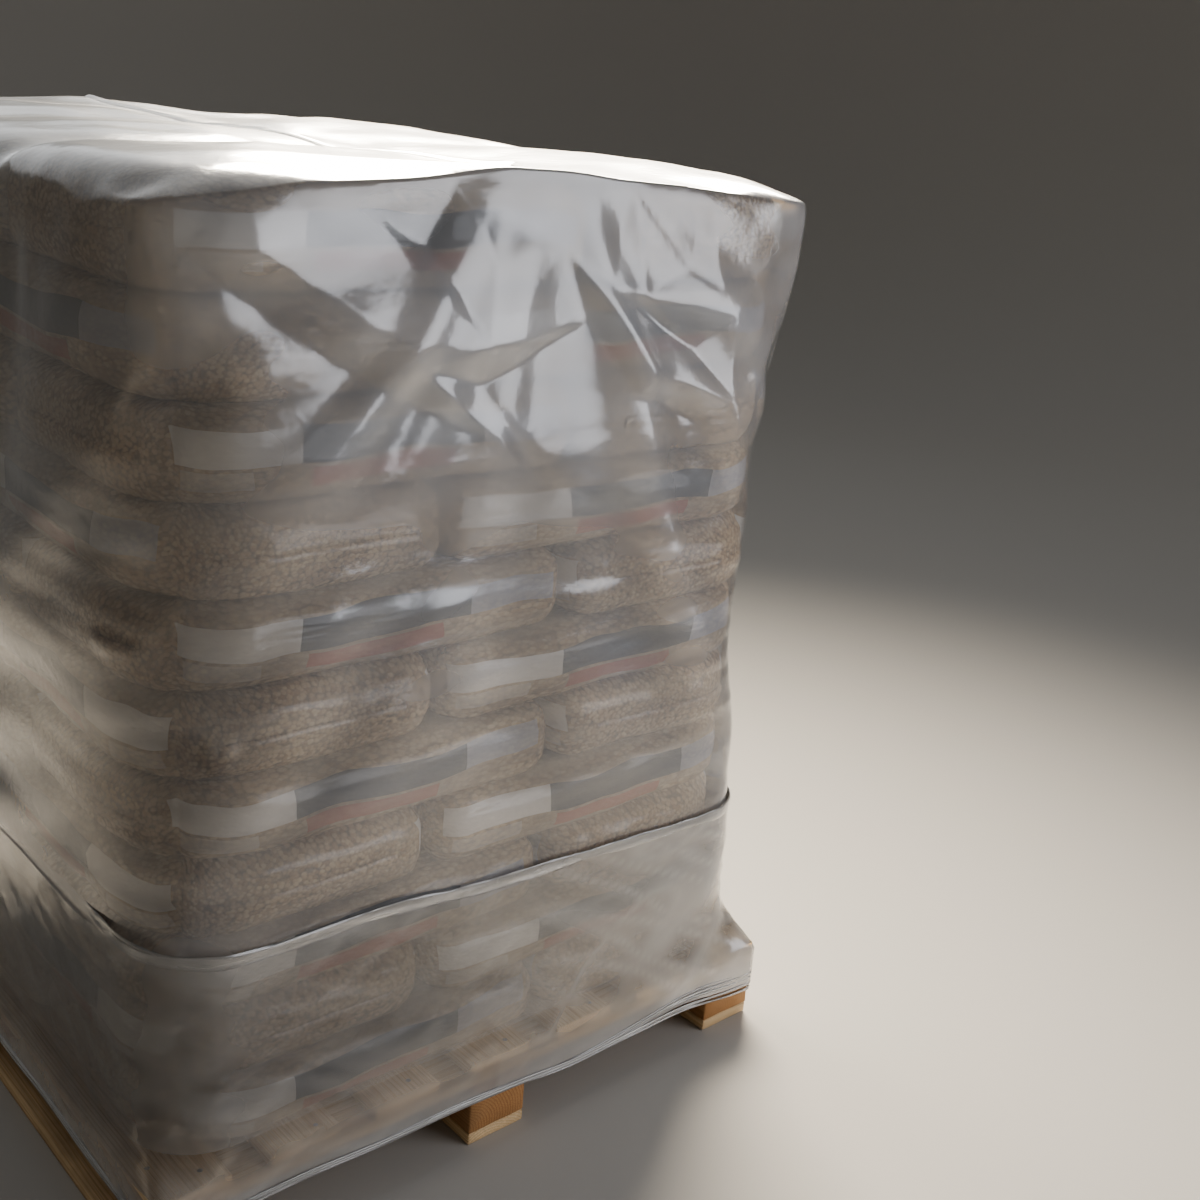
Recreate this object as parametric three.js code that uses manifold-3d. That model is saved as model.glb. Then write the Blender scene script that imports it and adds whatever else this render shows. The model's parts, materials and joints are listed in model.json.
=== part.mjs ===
// A pallet of sacks: a one-way block pallet that carries eleven layers of filled sacks,
// under a loose film hood, with the foot of the load stretch-wrapped to the pallet.
// Millimetres, +Z up. The origin is at ground level under the middle of the pallet.
// The front, where the fork lift comes in, faces -Y.

import * as THREE from 'three';
import { mergeVertices } from 'three/addons/utils/BufferGeometryUtils.js';
import Module from 'manifold-3d';

const wasm = await Module();
wasm.setup();

// Pallet
const PALLET_WIDTH = 1000;
const PALLET_DEPTH = 1200;
const BOARD_THICKNESS = 18;
const SKID_WIDTH = 95;
const BLOCK_LENGTH = 100;
const BLOCK_HEIGHT = 76;
const STRINGER_WIDTH = 100;
const DECK_BOARD_WIDTH = 100;
const DECK_BOARDS = 7;

// Sacks. The lower a layer lies, the flatter it is pressed.
const LOAD_WIDTH = 956;
const LOAD_DEPTH = 1146;
const LAYER_HEIGHTS = [94, 96, 98, 100, 101, 103, 105, 107, 109, 110, 112];
const CROSSWISE_SACKS = 3;
const LENGTHWISE_SACKS = 2;
const SACK_WIDTH = LOAD_DEPTH / CROSSWISE_SACKS;
const SACK_LENGTH = LOAD_WIDTH - SACK_WIDTH;
const SACK_GAP = 2;
const SIDE_ROUNDING = 32;
const SIDE_ROUNDING_STEPS = 2;
const STRAIGHT_SIDE_SHARE = 0.12;
const INNER_CORNER_RADIUS = 58;
const OUTER_CORNER_RADIUS = 110;
const ARCS_PER_OUTER_CORNER = 2;
const CORE_INSET = 62;
const CORE_HEIGHT_SHARE = 0.5;

// Film. The real film is far thinner; this is the thinnest shell that stays a sound solid.
const FILM_THICKNESS = 1.2;
const FILM_CORNER_STEPS = 5;
const HOOD_BOTTOM = 150;
const HOOD_CLEARANCE = 3;
const HOOD_RADIUS = OUTER_CORNER_RADIUS + HOOD_CLEARANCE;
const WRAP_CLEARANCE = 0.5;
const WRAP_OVER_HOOD = HOOD_CLEARANCE + FILM_THICKNESS + WRAP_CLEARANCE;
const WRAP_RADIUS = OUTER_CORNER_RADIUS + WRAP_OVER_HOOD;
const WRAP_BOTTOM = 76;
const WRAP_TOP = 408;
const WRAP_FLARE_RADIUS = 55;
const WRAP_PALLET_CORNER_RADIUS = 1.5;

const HOOD_HELD_BELOW = 415;

// The hood's shape from its foot up: height, reach outside the load, corner radius. The wrap holds
// it close at the foot, it bags above the wrap, and stands off in an ear at each top corner.
const HOOD_SECTIONS = [
  { z: HOOD_BOTTOM, grow: HOOD_CLEARANCE, radius: HOOD_RADIUS },
  { z: HOOD_HELD_BELOW, grow: HOOD_CLEARANCE, radius: HOOD_RADIUS },
  { z: 490, grow: 10, radius: 98 },
  { z: 590, grow: 12, radius: 92 },
  { z: 700, grow: 9, radius: 92 },
  { z: 810, grow: 6, radius: 96 },
  { z: 920, grow: 5, radius: 100 },
  { z: 1010, grow: 5, radius: 96 },
  { z: 1060, grow: 8, radius: 88 },
  { z: 1100, grow: 11, radius: 80 },
  { z: 1140, grow: 14, radius: 76 },
  { z: 1185, grow: 15, radius: 74 },
  { z: 1230, grow: 15, radius: 74 },
];

// Its crown: the same, with heights counted from the top of the load
const HOOD_CROWN = [
  { rise: 1, grow: -14, radius: 74 },
  { rise: 15, grow: -80, radius: 74 },
  { rise: 28, grow: -210, radius: 74 },
  { rise: 34, grow: -370, radius: 74 },
];

// The main folds of its spare film. Each falls along one crease, from and to: place across the
// wall, height, and how far the crease stands out from the load. The film falls back on both
// sides of it over the width. Opposite walls have the same folds, turned half round.
const END_WALL_FOLDS = [
  { from: [-440, 1206, 10], to: [-210, 1112, 26], width: 95 },
  { from: [-240, 1250, 12], to: [-95, 1100, 27], width: 105 },
  { from: [20, 1205, 14], to: [155, 1060, 26], width: 85 },
  { from: [90, 1160, 12], to: [317, 1005, 24], width: 95 },
  { from: [255, 1255, 14], to: [277, 1150, 24], width: 75 },
  { from: [-92, 1055, 16], to: [80, 900, 18], width: 140 },
  { from: [-330, 700, 14], to: [-120, 560, 20], width: 150 },
  { from: [230, 760, 16], to: [380, 520, 18], width: 150 },
];
const SIDE_WALL_FOLDS = [
  { from: [-420, 1150, 12], to: [-250, 880, 20], width: 150 },
  { from: [-180, 720, 18], to: [120, 560, 22], width: 160 },
  { from: [400, 1080, 10], to: [260, 700, 22], width: 160 },
];
const END_WALL_STEPS = 10;
const SIDE_WALL_STEPS = 8;

// How the wrap narrows from the pallet to the load: height above the deck
const WRAP_FLARE_START = 1;
const WRAP_FLARE_MIDDLE = 46;
const WRAP_FLARE_END = 120;

const wood = new THREE.MeshStandardMaterial({ color: 0xc09a68, roughness: 0.8, metalness: 0 });
const blockWood = new THREE.MeshStandardMaterial({ color: 0xb0713a, roughness: 0.85, metalness: 0 });
const filledSack = new THREE.MeshStandardMaterial({ color: 0xb39a7e, roughness: 0.5, metalness: 0 });
const hoodFilm = new THREE.MeshStandardMaterial({
  color: 0xdcdad4,
  roughness: 0.25,
  metalness: 0,
  transparent: true,
  opacity: 0.35,
});
const wrapFilm = new THREE.MeshStandardMaterial({
  color: 0xd2d3d1,
  roughness: 0.2,
  metalness: 0,
  transparent: true,
  opacity: 0.3,
});

const pallet = new THREE.Group();
const load = new THREE.Group();
const film = new THREE.Group();

// A closed three.js geometry as a solid that can be joined and cut, and back again
function solidOf(geometry) {
  const bare = geometry.clone();
  bare.deleteAttribute('normal');
  bare.deleteAttribute('uv');
  const merged = mergeVertices(bare, 1e-4);
  return new wasm.Manifold(new wasm.Mesh({
    numProp: 3,
    vertProperties: new Float32Array(merged.attributes.position.array),
    triVerts: new Uint32Array(merged.index.array),
  }));
}

function geometryOf(solid) {
  const { vertProperties, triVerts } = solid.getMesh();
  const geometry = new THREE.BufferGeometry();
  geometry.setAttribute('position', new THREE.BufferAttribute(vertProperties, 3));
  geometry.setIndex(new THREE.BufferAttribute(triVerts, 1));
  geometry.computeVertexNormals();
  return geometry;
}

function place(parent, name, geometry, material, x = 0, y = 0, z = 0) {
  const mesh = new THREE.Mesh(geometry, material);
  mesh.name = name;
  mesh.position.set(x, y, z);
  parent.add(mesh);
}

// The corners of a rectangle, counter-clockwise from the one at +X and +Y
const CORNER_SIGNS = [[1, 1], [-1, 1], [-1, -1], [1, -1]];

// Evenly spaced centres of `count` pieces of one size, the outer ones flush with the ends of `span`
function spread(count, span, size) {
  const step = (span - size) / (count - 1);
  return Array.from({ length: count }, (_, i) => (size - span) / 2 + i * step);
}

// Pallet: skids on the ground, blocks on the skids, stringers across the blocks, deck boards on top

function buildPallet() {
  const skidXs = spread(3, PALLET_WIDTH, SKID_WIDTH);
  const blockYs = spread(3, PALLET_DEPTH, BLOCK_LENGTH);
  const stringerYs = spread(3, PALLET_DEPTH, STRINGER_WIDTH);
  const deckXs = spread(DECK_BOARDS, PALLET_WIDTH, DECK_BOARD_WIDTH);
  const blockZ = BOARD_THICKNESS + BLOCK_HEIGHT / 2;
  const stringerZ = BOARD_THICKNESS * 1.5 + BLOCK_HEIGHT;
  const deckZ = stringerZ + BOARD_THICKNESS;

  const skid = new THREE.BoxGeometry(SKID_WIDTH, PALLET_DEPTH, BOARD_THICKNESS);
  const block = new THREE.BoxGeometry(SKID_WIDTH, BLOCK_LENGTH, BLOCK_HEIGHT);
  const stringer = new THREE.BoxGeometry(PALLET_WIDTH, STRINGER_WIDTH, BOARD_THICKNESS);
  const deckBoard = new THREE.BoxGeometry(DECK_BOARD_WIDTH, PALLET_DEPTH, BOARD_THICKNESS);

  const sides = ['left', 'middle', 'right'];
  const rows = ['front', 'middle', 'back'];
  for (const [i, side] of sides.entries()) {
    place(pallet, `skid_${side}`, skid, wood, skidXs[i], 0, BOARD_THICKNESS / 2);
    for (const [j, row] of rows.entries()) {
      place(pallet, `block_${side}_${row}`, block, blockWood, skidXs[i], blockYs[j], blockZ);
    }
  }
  for (const [j, row] of rows.entries()) {
    place(pallet, `stringer_${row}`, stringer, wood, 0, stringerYs[j], stringerZ);
  }
  for (const [i, x] of deckXs.entries()) {
    place(pallet, `deck_board_${i + 1}`, deckBoard, wood, x, 0, deckZ);
  }
  return deckZ + BOARD_THICKNESS / 2;
}

// Sacks: each is a flat pillow. Its corners are rounder where they are a corner of the whole load.

// A corner of the load is drawn as two arcs, any other corner as one, each of two straight faces
function pillowOutline(width, depth, corners) {
  const outline = new THREE.Shape();
  for (const [quarter, { signX, signY, radius, arcs }] of corners.entries()) {
    const x = signX * (width / 2 - radius);
    const y = signY * (depth / 2 - radius);
    for (let arc = 0; arc < arcs; arc += 1) {
      const start = (quarter + arc / arcs) * Math.PI / 2;
      const end = (quarter + (arc + 1) / arcs) * Math.PI / 2;
      outline.absarc(x, y, radius, start, end);
    }
  }
  return outline;
}

function pillow(width, depth, height, corners) {
  const straight = height * STRAIGHT_SIDE_SHARE;
  const bevel = (height - straight) / 2;
  const top = corners.map((corner) => ({ ...corner, radius: corner.radius - SIDE_ROUNDING }));
  const outline = pillowOutline(width - 2 * SIDE_ROUNDING, depth - 2 * SIDE_ROUNDING, top);
  const geometry = new THREE.ExtrudeGeometry(outline, {
    depth: straight,
    bevelThickness: bevel,
    bevelSize: SIDE_ROUNDING,
    bevelSegments: SIDE_ROUNDING_STEPS,
    curveSegments: 1,
  });
  geometry.translate(0, 0, bevel);
  return geometry;
}

// The five sacks of one layer, as rectangles in plan. `side` is the side of the crosswise column:
// -1 for left, +1 for right.
function layerPlan(side) {
  const crosswiseX = side * (LOAD_WIDTH - SACK_LENGTH) / 2;
  const lengthwiseX = -side * (LOAD_WIDTH - SACK_WIDTH) / 2;
  const lengthwiseDepth = LOAD_DEPTH / LENGTHWISE_SACKS;
  const sacks = [];
  for (const y of spread(CROSSWISE_SACKS, LOAD_DEPTH, SACK_WIDTH)) {
    sacks.push({ x: crosswiseX, y, width: SACK_LENGTH, depth: SACK_WIDTH });
  }
  for (const y of spread(LENGTHWISE_SACKS, LOAD_DEPTH, lengthwiseDepth)) {
    sacks.push({ x: lengthwiseX, y, width: SACK_WIDTH, depth: lengthwiseDepth });
  }
  return sacks;
}

function sackCorner(sack, signX, signY) {
  const reachX = signX * sack.x + sack.width / 2;
  const reachY = signY * sack.y + sack.depth / 2;
  const onLoadCorner = reachX > LOAD_WIDTH / 2 - SACK_GAP && reachY > LOAD_DEPTH / 2 - SACK_GAP;
  if (onLoadCorner) {
    return { signX, signY, radius: OUTER_CORNER_RADIUS, arcs: ARCS_PER_OUTER_CORNER };
  }
  return { signX, signY, radius: INNER_CORNER_RADIUS, arcs: 1 };
}

function sackLayer(height, side) {
  const coreHeight = height * CORE_HEIGHT_SHARE;
  const core = new THREE.BoxGeometry(LOAD_WIDTH - 2 * CORE_INSET, LOAD_DEPTH - 2 * CORE_INSET, coreHeight);
  core.translate(0, 0, height / 2);
  let layer = solidOf(core);
  for (const sack of layerPlan(side)) {
    const corners = CORNER_SIGNS.map(([signX, signY]) => sackCorner(sack, signX, signY));
    const body = pillow(sack.width - SACK_GAP, sack.depth - SACK_GAP, height, corners);
    body.translate(sack.x, sack.y, 0);
    layer = layer.add(solidOf(body));
  }
  return geometryOf(layer);
}

function buildLoad(deckTop) {
  let z = deckTop;
  for (const [i, height] of LAYER_HEIGHTS.entries()) {
    const side = i % 2 === 0 ? -1 : 1;
    place(load, `sack_layer_${i + 1}`, sackLayer(height, side), filledSack, 0, 0, z);
    z += height;
  }
  return z;
}

// Film: a closed skin through rounded rectangles at rising heights, thin all round

// Points between the corners of a hood section, from one corner's last point to the next one's first
function wallPoints(start, end, steps) {
  const points = [];
  for (let k = 1; k < steps; k += 1) {
    points.push(start.clone().lerp(end, k / steps));
  }
  return points;
}

// How far the film stands out from the load at a place on a wall
function foldStand(folds, across, height) {
  let stand = 0;
  for (const { from, to, width } of folds) {
    const start = new THREE.Vector3(from[0], from[1], 0);
    const end = new THREE.Vector3(to[0], to[1], 0);
    const place = new THREE.Vector3(across, height, 0);
    const crease = new THREE.Line3(start, end);
    const share = crease.closestPointToPointParameter(place, true);
    const distance = crease.at(share, new THREE.Vector3()).distanceTo(place);
    const rise = THREE.MathUtils.lerp(from[2], to[2], share);
    stand = Math.max(stand, rise * (1 - distance / width));
  }
  return stand;
}

function ringPoints({ z, halfWidth, halfDepth, radius, grow, walls }) {
  const corners = CORNER_SIGNS.map(([signX, signY], quarter) => {
    const centreX = signX * (halfWidth - radius);
    const centreY = signY * (halfDepth - radius);
    const arc = [];
    for (let k = 0; k <= FILM_CORNER_STEPS; k += 1) {
      const angle = (quarter + k / FILM_CORNER_STEPS) * Math.PI / 2;
      const x = centreX + radius * Math.cos(angle);
      const y = centreY + radius * Math.sin(angle);
      arc.push(new THREE.Vector3(x, y, z));
    }
    return arc;
  });
  if (!walls) {
    return corners.flat();
  }
  const ring = [];
  for (const [quarter, arc] of corners.entries()) {
    ring.push(...arc);
    const onEnd = quarter % 2 === 0;
    const sign = quarter < 2 ? 1 : -1;
    const next = corners[(quarter + 1) % corners.length];
    for (const point of wallPoints(arc.at(-1), next[0], onEnd ? END_WALL_STEPS : SIDE_WALL_STEPS)) {
      if (walls === 'folded' && onEnd) {
        point.y += sign * Math.max(0, foldStand(END_WALL_FOLDS, -sign * point.x, z) - grow);
      }
      if (walls === 'folded' && !onEnd) {
        point.x -= sign * Math.max(0, foldStand(SIDE_WALL_FOLDS, -sign * point.y, z) - grow);
      }
      ring.push(point);
    }
  }
  return ring;
}

function loft(sections) {
  const rings = sections.map(ringPoints);
  const count = rings[0].length;
  const bottomCentre = new THREE.Vector3(0, 0, sections[0].z);
  const topCentre = new THREE.Vector3(0, 0, sections.at(-1).z);
  const points = [...rings.flat(), bottomCentre, topCentre];
  const bottomIndex = points.length - 2;
  const topIndex = points.length - 1;
  const lastRing = (rings.length - 1) * count;
  const index = [];
  for (let k = 0; k < count; k += 1) {
    const next = (k + 1) % count;
    index.push(bottomIndex, next, k);
    index.push(topIndex, lastRing + k, lastRing + next);
    for (let row = 0; row < lastRing; row += count) {
      index.push(row + k, row + next, row + count + next);
      index.push(row + k, row + count + next, row + count + k);
    }
  }
  const geometry = new THREE.BufferGeometry().setFromPoints(points);
  geometry.setIndex(index);
  return geometry;
}

// One section of the film's inner face, `grow` outside the load
function loadSection(z, grow, radius) {
  return { z, halfWidth: LOAD_WIDTH / 2 + grow, halfDepth: LOAD_DEPTH / 2 + grow, radius };
}

function palletSection(z) {
  return {
    z,
    halfWidth: PALLET_WIDTH / 2 + WRAP_CLEARANCE,
    halfDepth: PALLET_DEPTH / 2 + WRAP_CLEARANCE,
    radius: WRAP_PALLET_CORNER_RADIUS,
  };
}

function thicker(section) {
  return {
    ...section,
    halfWidth: section.halfWidth + FILM_THICKNESS,
    halfDepth: section.halfDepth + FILM_THICKNESS,
    radius: section.radius + FILM_THICKNESS,
  };
}

// The same sections carried on past the open end, so that the cut leaves no film across it
function openBelow(sections) {
  return [{ ...sections[0], z: sections[0].z - 1 }, ...sections];
}

function openAbove(sections) {
  return [...sections, { ...sections.at(-1), z: sections.at(-1).z + 1 }];
}

// A section of the hood: as any section round the load, with points along its walls too
function hoodSection(z, grow, radius, walls) {
  return { ...loadSection(z, grow, radius), grow, walls };
}

// The hood hangs loose down the sides in folds, and is crowned on top
function buildHood(loadTop) {
  const inside = [];
  for (const { z, grow, radius } of HOOD_SECTIONS) {
    inside.push(hoodSection(z, grow, radius, z > HOOD_HELD_BELOW ? 'folded' : 'plain'));
  }
  for (const { rise, grow, radius } of HOOD_CROWN) {
    inside.push(hoodSection(loadTop + rise, grow, radius, 'plain'));
  }
  const outside = inside.map(thicker);
  for (const section of outside) {
    if (section.z > loadTop) {
      section.z += FILM_THICKNESS;
    }
  }
  const shell = solidOf(loft(outside)).subtract(solidOf(loft(openBelow(inside))));
  place(film, 'hood', geometryOf(shell), hoodFilm);
}

// The stretch wrap grips the hood below and flares out over the edges of the pallet
function buildStretchWrap(deckTop) {
  const inside = [
    palletSection(WRAP_BOTTOM),
    palletSection(deckTop + WRAP_FLARE_START),
    loadSection(deckTop + WRAP_FLARE_MIDDLE, WRAP_OVER_HOOD, WRAP_FLARE_RADIUS),
    loadSection(deckTop + WRAP_FLARE_END, WRAP_OVER_HOOD, WRAP_RADIUS),
    loadSection(WRAP_TOP, WRAP_OVER_HOOD, WRAP_RADIUS),
  ];
  const outside = inside.map(thicker);
  const shell = solidOf(loft(outside)).subtract(solidOf(loft(openAbove(openBelow(inside)))));
  place(film, 'stretch_wrap', geometryOf(shell), wrapFilm);
}

const deckTop = buildPallet();
const loadTop = buildLoad(deckTop);
buildHood(loadTop);
buildStretchWrap(deckTop);

const palletOfSacks = new THREE.Group();
palletOfSacks.add(pallet, load, film);

export default palletOfSacks;
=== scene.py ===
"""Pallet of sacks: the finished pieces and their materials, round the packed frame.

A one-way pallet of sawn pine carries eleven interlocked layers of five clear sacks of wood
pellets. A loose film hood is drawn down over the load, and stretch film ties its foot to the
pallet. Metres, +Z up, the origin on the ground under the middle, the front facing -Y.
"""

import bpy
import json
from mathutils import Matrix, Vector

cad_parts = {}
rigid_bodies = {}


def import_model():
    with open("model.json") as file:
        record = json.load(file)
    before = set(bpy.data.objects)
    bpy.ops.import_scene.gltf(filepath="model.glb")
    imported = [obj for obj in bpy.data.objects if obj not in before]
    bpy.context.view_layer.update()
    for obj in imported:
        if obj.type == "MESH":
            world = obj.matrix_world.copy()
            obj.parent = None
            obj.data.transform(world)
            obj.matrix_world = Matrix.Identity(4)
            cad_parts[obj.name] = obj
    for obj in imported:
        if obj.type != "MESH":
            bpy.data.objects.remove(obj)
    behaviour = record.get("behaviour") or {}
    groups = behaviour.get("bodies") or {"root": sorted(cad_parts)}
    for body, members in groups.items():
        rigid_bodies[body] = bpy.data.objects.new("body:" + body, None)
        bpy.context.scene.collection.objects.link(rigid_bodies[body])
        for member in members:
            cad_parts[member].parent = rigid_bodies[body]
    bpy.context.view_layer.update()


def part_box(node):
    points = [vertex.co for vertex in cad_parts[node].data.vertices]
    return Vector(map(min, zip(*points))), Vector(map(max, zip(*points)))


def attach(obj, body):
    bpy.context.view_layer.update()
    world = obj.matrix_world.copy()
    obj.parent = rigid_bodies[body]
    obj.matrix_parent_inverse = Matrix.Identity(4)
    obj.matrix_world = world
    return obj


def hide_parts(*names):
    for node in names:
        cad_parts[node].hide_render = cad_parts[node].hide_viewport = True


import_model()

import itertools
import json
import math

import bmesh
import bpy
import numpy as np
from bpy.props import FloatProperty, FloatVectorProperty, IntProperty, PointerProperty
from mathutils import Matrix, Vector
from mathutils.bvhtree import BVHTree
from mathutils.geometry import delaunay_2d_cdt

bl_info = {
    "name": "Pallet of sacks",
    "version": (1, 0, 0),
    "blender": (4, 5, 0),
    "location": "3D View > Sidebar > Pallet of sacks",
    "description": "Builds a hooded and stretch-wrapped pallet of pellet sacks round its frame",
    "category": "Add Mesh",
}

MM = 0.001
BODY = "root"

# The load, as the frame has it
LAYER_NODES = ["sack_layer_%d" % number for number in range(1, 12)]
LAYER_SPANS = [(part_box(node)[0][2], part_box(node)[1][2]) for node in LAYER_NODES]
LOAD_HALF_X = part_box(LAYER_NODES[0])[1][0]
LOAD_HALF_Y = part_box(LAYER_NODES[0])[1][1]
LOAD_TOP = LAYER_SPANS[-1][1]
SACK_WIDTH = 2 * LOAD_HALF_Y / 3
SACK_LENGTH = 2 * LOAD_HALF_X - SACK_WIDTH

# The pallet, as the frame has it
PALLET_HALF_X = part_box("stringer_front")[1][0]
PALLET_HALF_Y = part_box("skid_middle")[1][1]
DECK_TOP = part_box("deck_board_1")[1][2]
SKIDS = ["skid_left", "skid_middle", "skid_right"]
STRINGERS = ["stringer_front", "stringer_middle", "stringer_back"]
DECK_BOARDS = ["deck_board_%d" % number for number in range(1, 8)]
BLOCKS = ["block_%s_%s" % place for place in itertools.product(("left", "middle", "right"),
                                                              ("front", "middle", "back"))]


# Numbers and noise

def linear(hex_colour):
    """An sRGB colour such as "C8A878" as linear red, green and blue."""
    shares = [int(hex_colour[at:at + 2], 16) / 255 for at in (0, 2, 4)]
    return tuple(s / 12.92 if s <= 0.04045 else ((s + 0.055) / 1.055) ** 2.4 for s in shares)


def ease(low, high, value):
    """0 below low, 1 above high, and a smooth step between them."""
    share = np.clip((value - low) / (high - low), 0, 1)
    return share * share * (3 - 2 * share)


# The directions that the noise is made from
GRADIENTS = np.random.default_rng(11).normal(size=(256, 3))
GRADIENTS /= np.linalg.norm(GRADIENTS, axis=1)[:, None]


def noise(points, seed=0):
    """Smooth noise, about -1 to 1, at each point. Its lumps are one unit across."""
    cell = np.floor(points).astype(np.int64)
    inside = points - cell
    share = inside ** 3 * (inside * (inside * 6 - 15) + 10)
    total = np.zeros(len(points))
    for corner in itertools.product((0, 1), repeat=3):
        x, y, z = (cell + corner).T
        mixed = (x * 73856093) ^ (y * 19349663) ^ (z * 83492791) ^ (seed * 26544357 + 977)
        mixed = (mixed ^ (mixed >> 13)) * 1274126177
        gradient = GRADIENTS[(mixed >> 9) & 255]
        weight = np.prod(np.where(corner, share, 1 - share), axis=1)
        total += weight * np.sum(gradient * (inside - corner), axis=1)
    return total * 1.6


def creases(points, seed=0):
    """Ridged noise, 0 to 1: narrow ridges, as where film has been folded."""
    return np.clip(1 - 2.2 * np.abs(noise(points, seed)), 0, 1) ** 2


def rounded_outline(half_x, half_y, radius, turns):
    """Points on a rounded rectangle, turns (0 to 1) of the way round it.

    It starts in the middle of the front and sets out towards +X.
    """
    points = [(0.0, -half_y)]
    for quarter, (sign_x, sign_y) in enumerate(((1, -1), (1, 1), (-1, 1), (-1, -1))):
        for angle in np.linspace(quarter - 1, quarter, 17) * math.pi / 2:
            points.append((sign_x * (half_x - radius) + radius * math.cos(angle),
                           sign_y * (half_y - radius) + radius * math.sin(angle)))
    points.append((0.0, -half_y))
    points = np.array(points)
    steps = np.linalg.norm(np.diff(points, axis=0), axis=1)
    along = np.concatenate([[0.0], np.cumsum(steps)])
    at = np.mod(turns, 1.0) * along[-1]
    return np.stack([np.interp(at, along, points[:, 0]), np.interp(at, along, points[:, 1])], axis=1)


# Mesh tools

def ring_faces(columns, rows, closed_rows=False):
    """Faces between rings of points that go round and close."""
    last = rows if closed_rows else rows - 1
    return [(row * columns + column, row * columns + (column + 1) % columns,
             (row + 1) % rows * columns + (column + 1) % columns, (row + 1) % rows * columns + column)
            for row in range(last) for column in range(columns)]


def strip_faces(rows, columns):
    """Faces between rows of points that don't close."""
    return [(row * columns + at, row * columns + at + 1,
             (row + 1) * columns + at + 1, (row + 1) * columns + at)
            for row in range(rows - 1) for at in range(columns - 1)]


def turned_over(faces):
    """The same faces, looking the other way."""
    return [face[::-1] for face in faces]


def box_grid(xs, ys, zs):
    """The six faces of a box cut at these places along each side, welded at its edges."""
    number = {}
    verts = []
    faces = []

    def vert(i, j, k):
        if (i, j, k) not in number:
            number[i, j, k] = len(verts)
            verts.append((xs[i], ys[j], zs[k]))
        return number[i, j, k]

    last = (len(xs) - 1, len(ys) - 1, len(zs) - 1)
    for across in range(3):
        first, second = [axis for axis in range(3) if axis != across]
        for a, b, side in itertools.product(range(last[first]), range(last[second]), (0, 1)):
            ring = []
            for da, db in ((0, 0), (1, 0), (1, 1), (0, 1)):
                at = [0, 0, 0]
                at[first] = a + da
                at[second] = b + db
                at[across] = side * last[across]
                ring.append(vert(*at))
            outward = (side == 1) != (across == 1)
            faces.append(tuple(ring if outward else ring[::-1]))
    return np.array(verts, float), faces


def mesh_piece(name, verts, faces, material=None, values=None):
    """A smooth-shaded mesh object. values holds numbers or vectors stored at its vertices."""
    mesh = bpy.data.meshes.new(name)
    mesh.from_pydata(np.asarray(verts).tolist(), [], [tuple(map(int, face)) for face in faces])
    mesh.polygons.foreach_set("use_smooth", [True] * len(mesh.polygons))
    for key, numbers in (values or {}).items():
        numbers = np.asarray(numbers, float)
        kind = "FLOAT" if numbers.ndim == 1 else "FLOAT_VECTOR"
        field = "value" if numbers.ndim == 1 else "vector"
        mesh.attributes.new(key, kind, "POINT").data.foreach_set(field, numbers.ravel())
    mesh.update()
    if material:
        mesh.materials.append(material)
    piece = bpy.data.objects.new(name, mesh)
    bpy.context.scene.collection.objects.link(piece)
    return piece


def vertex_places(mesh):
    """The vertices of a mesh as rows of x, y, z."""
    places = np.empty(len(mesh.vertices) * 3)
    mesh.vertices.foreach_get("co", places)
    return places.reshape(-1, 3)


def edge_ends(mesh):
    """The numbers of the two vertices of each edge of a mesh."""
    return np.array([edge.vertices[:] for edge in mesh.edges])


def move_vertices(piece, places):
    """Puts the vertices of a piece at these places."""
    piece.data.vertices.foreach_set("co", np.asarray(places, float).ravel())
    piece.data.update()


def join_parts(parts):
    """Several lots of vertices and faces as one."""
    verts = []
    faces = []
    count = 0
    for part_verts, part_faces in parts:
        verts.append(part_verts)
        faces += [tuple(int(number) + count for number in face) for face in part_faces]
        count += len(part_verts)
    return np.concatenate(verts), faces


def apply_modifiers(piece):
    """Keeps the piece's shape as its modifiers leave it, and takes them off."""
    graph = bpy.context.evaluated_depsgraph_get()
    mesh = bpy.data.meshes.new_from_object(piece.evaluated_get(graph))
    old = piece.data
    piece.modifiers.clear()
    piece.data = mesh
    bpy.data.meshes.remove(old)
    mesh.name = piece.name


def set_values(target, **values):
    """Sets several properties of one thing."""
    for name, value in values.items():
        setattr(target, name, value)


def run_cloth(piece, frames):
    """Steps the cloth on a piece from frame 1 and returns where its vertices end."""
    scene = bpy.context.scene
    scene.frame_start = 1
    scene.frame_end = frames
    for number in range(1, frames + 1):
        scene.frame_set(number)
    graph = bpy.context.evaluated_depsgraph_get()
    places = vertex_places(piece.evaluated_get(graph).to_mesh()).copy()
    scene.frame_set(1)
    return places


def settle(piece, slot, *nodes):
    """The piece rides with the load and stands for these nodes, which it hides. The slot is not used."""
    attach(piece, BODY)
    if nodes:
        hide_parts(*nodes)


# Material tools

def add_node(tree, kind, inputs=None, **settings):
    """Adds a shader node, sets its properties, and fills its inputs with values or links."""
    node = tree.nodes.new("ShaderNode" + kind)
    for name, value in settings.items():
        setattr(node, name, value)
    for name, value in (inputs or {}).items():
        if isinstance(value, bpy.types.NodeSocket):
            tree.links.new(value, node.inputs[name])
        else:
            node.inputs[name].default_value = value
    return node


def new_material(name):
    """An empty node material, with its output."""
    material = bpy.data.materials.new(name)
    material.use_nodes = True
    tree = material.node_tree
    tree.nodes.clear()
    return material, tree, add_node(tree, "OutputMaterial")


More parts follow.
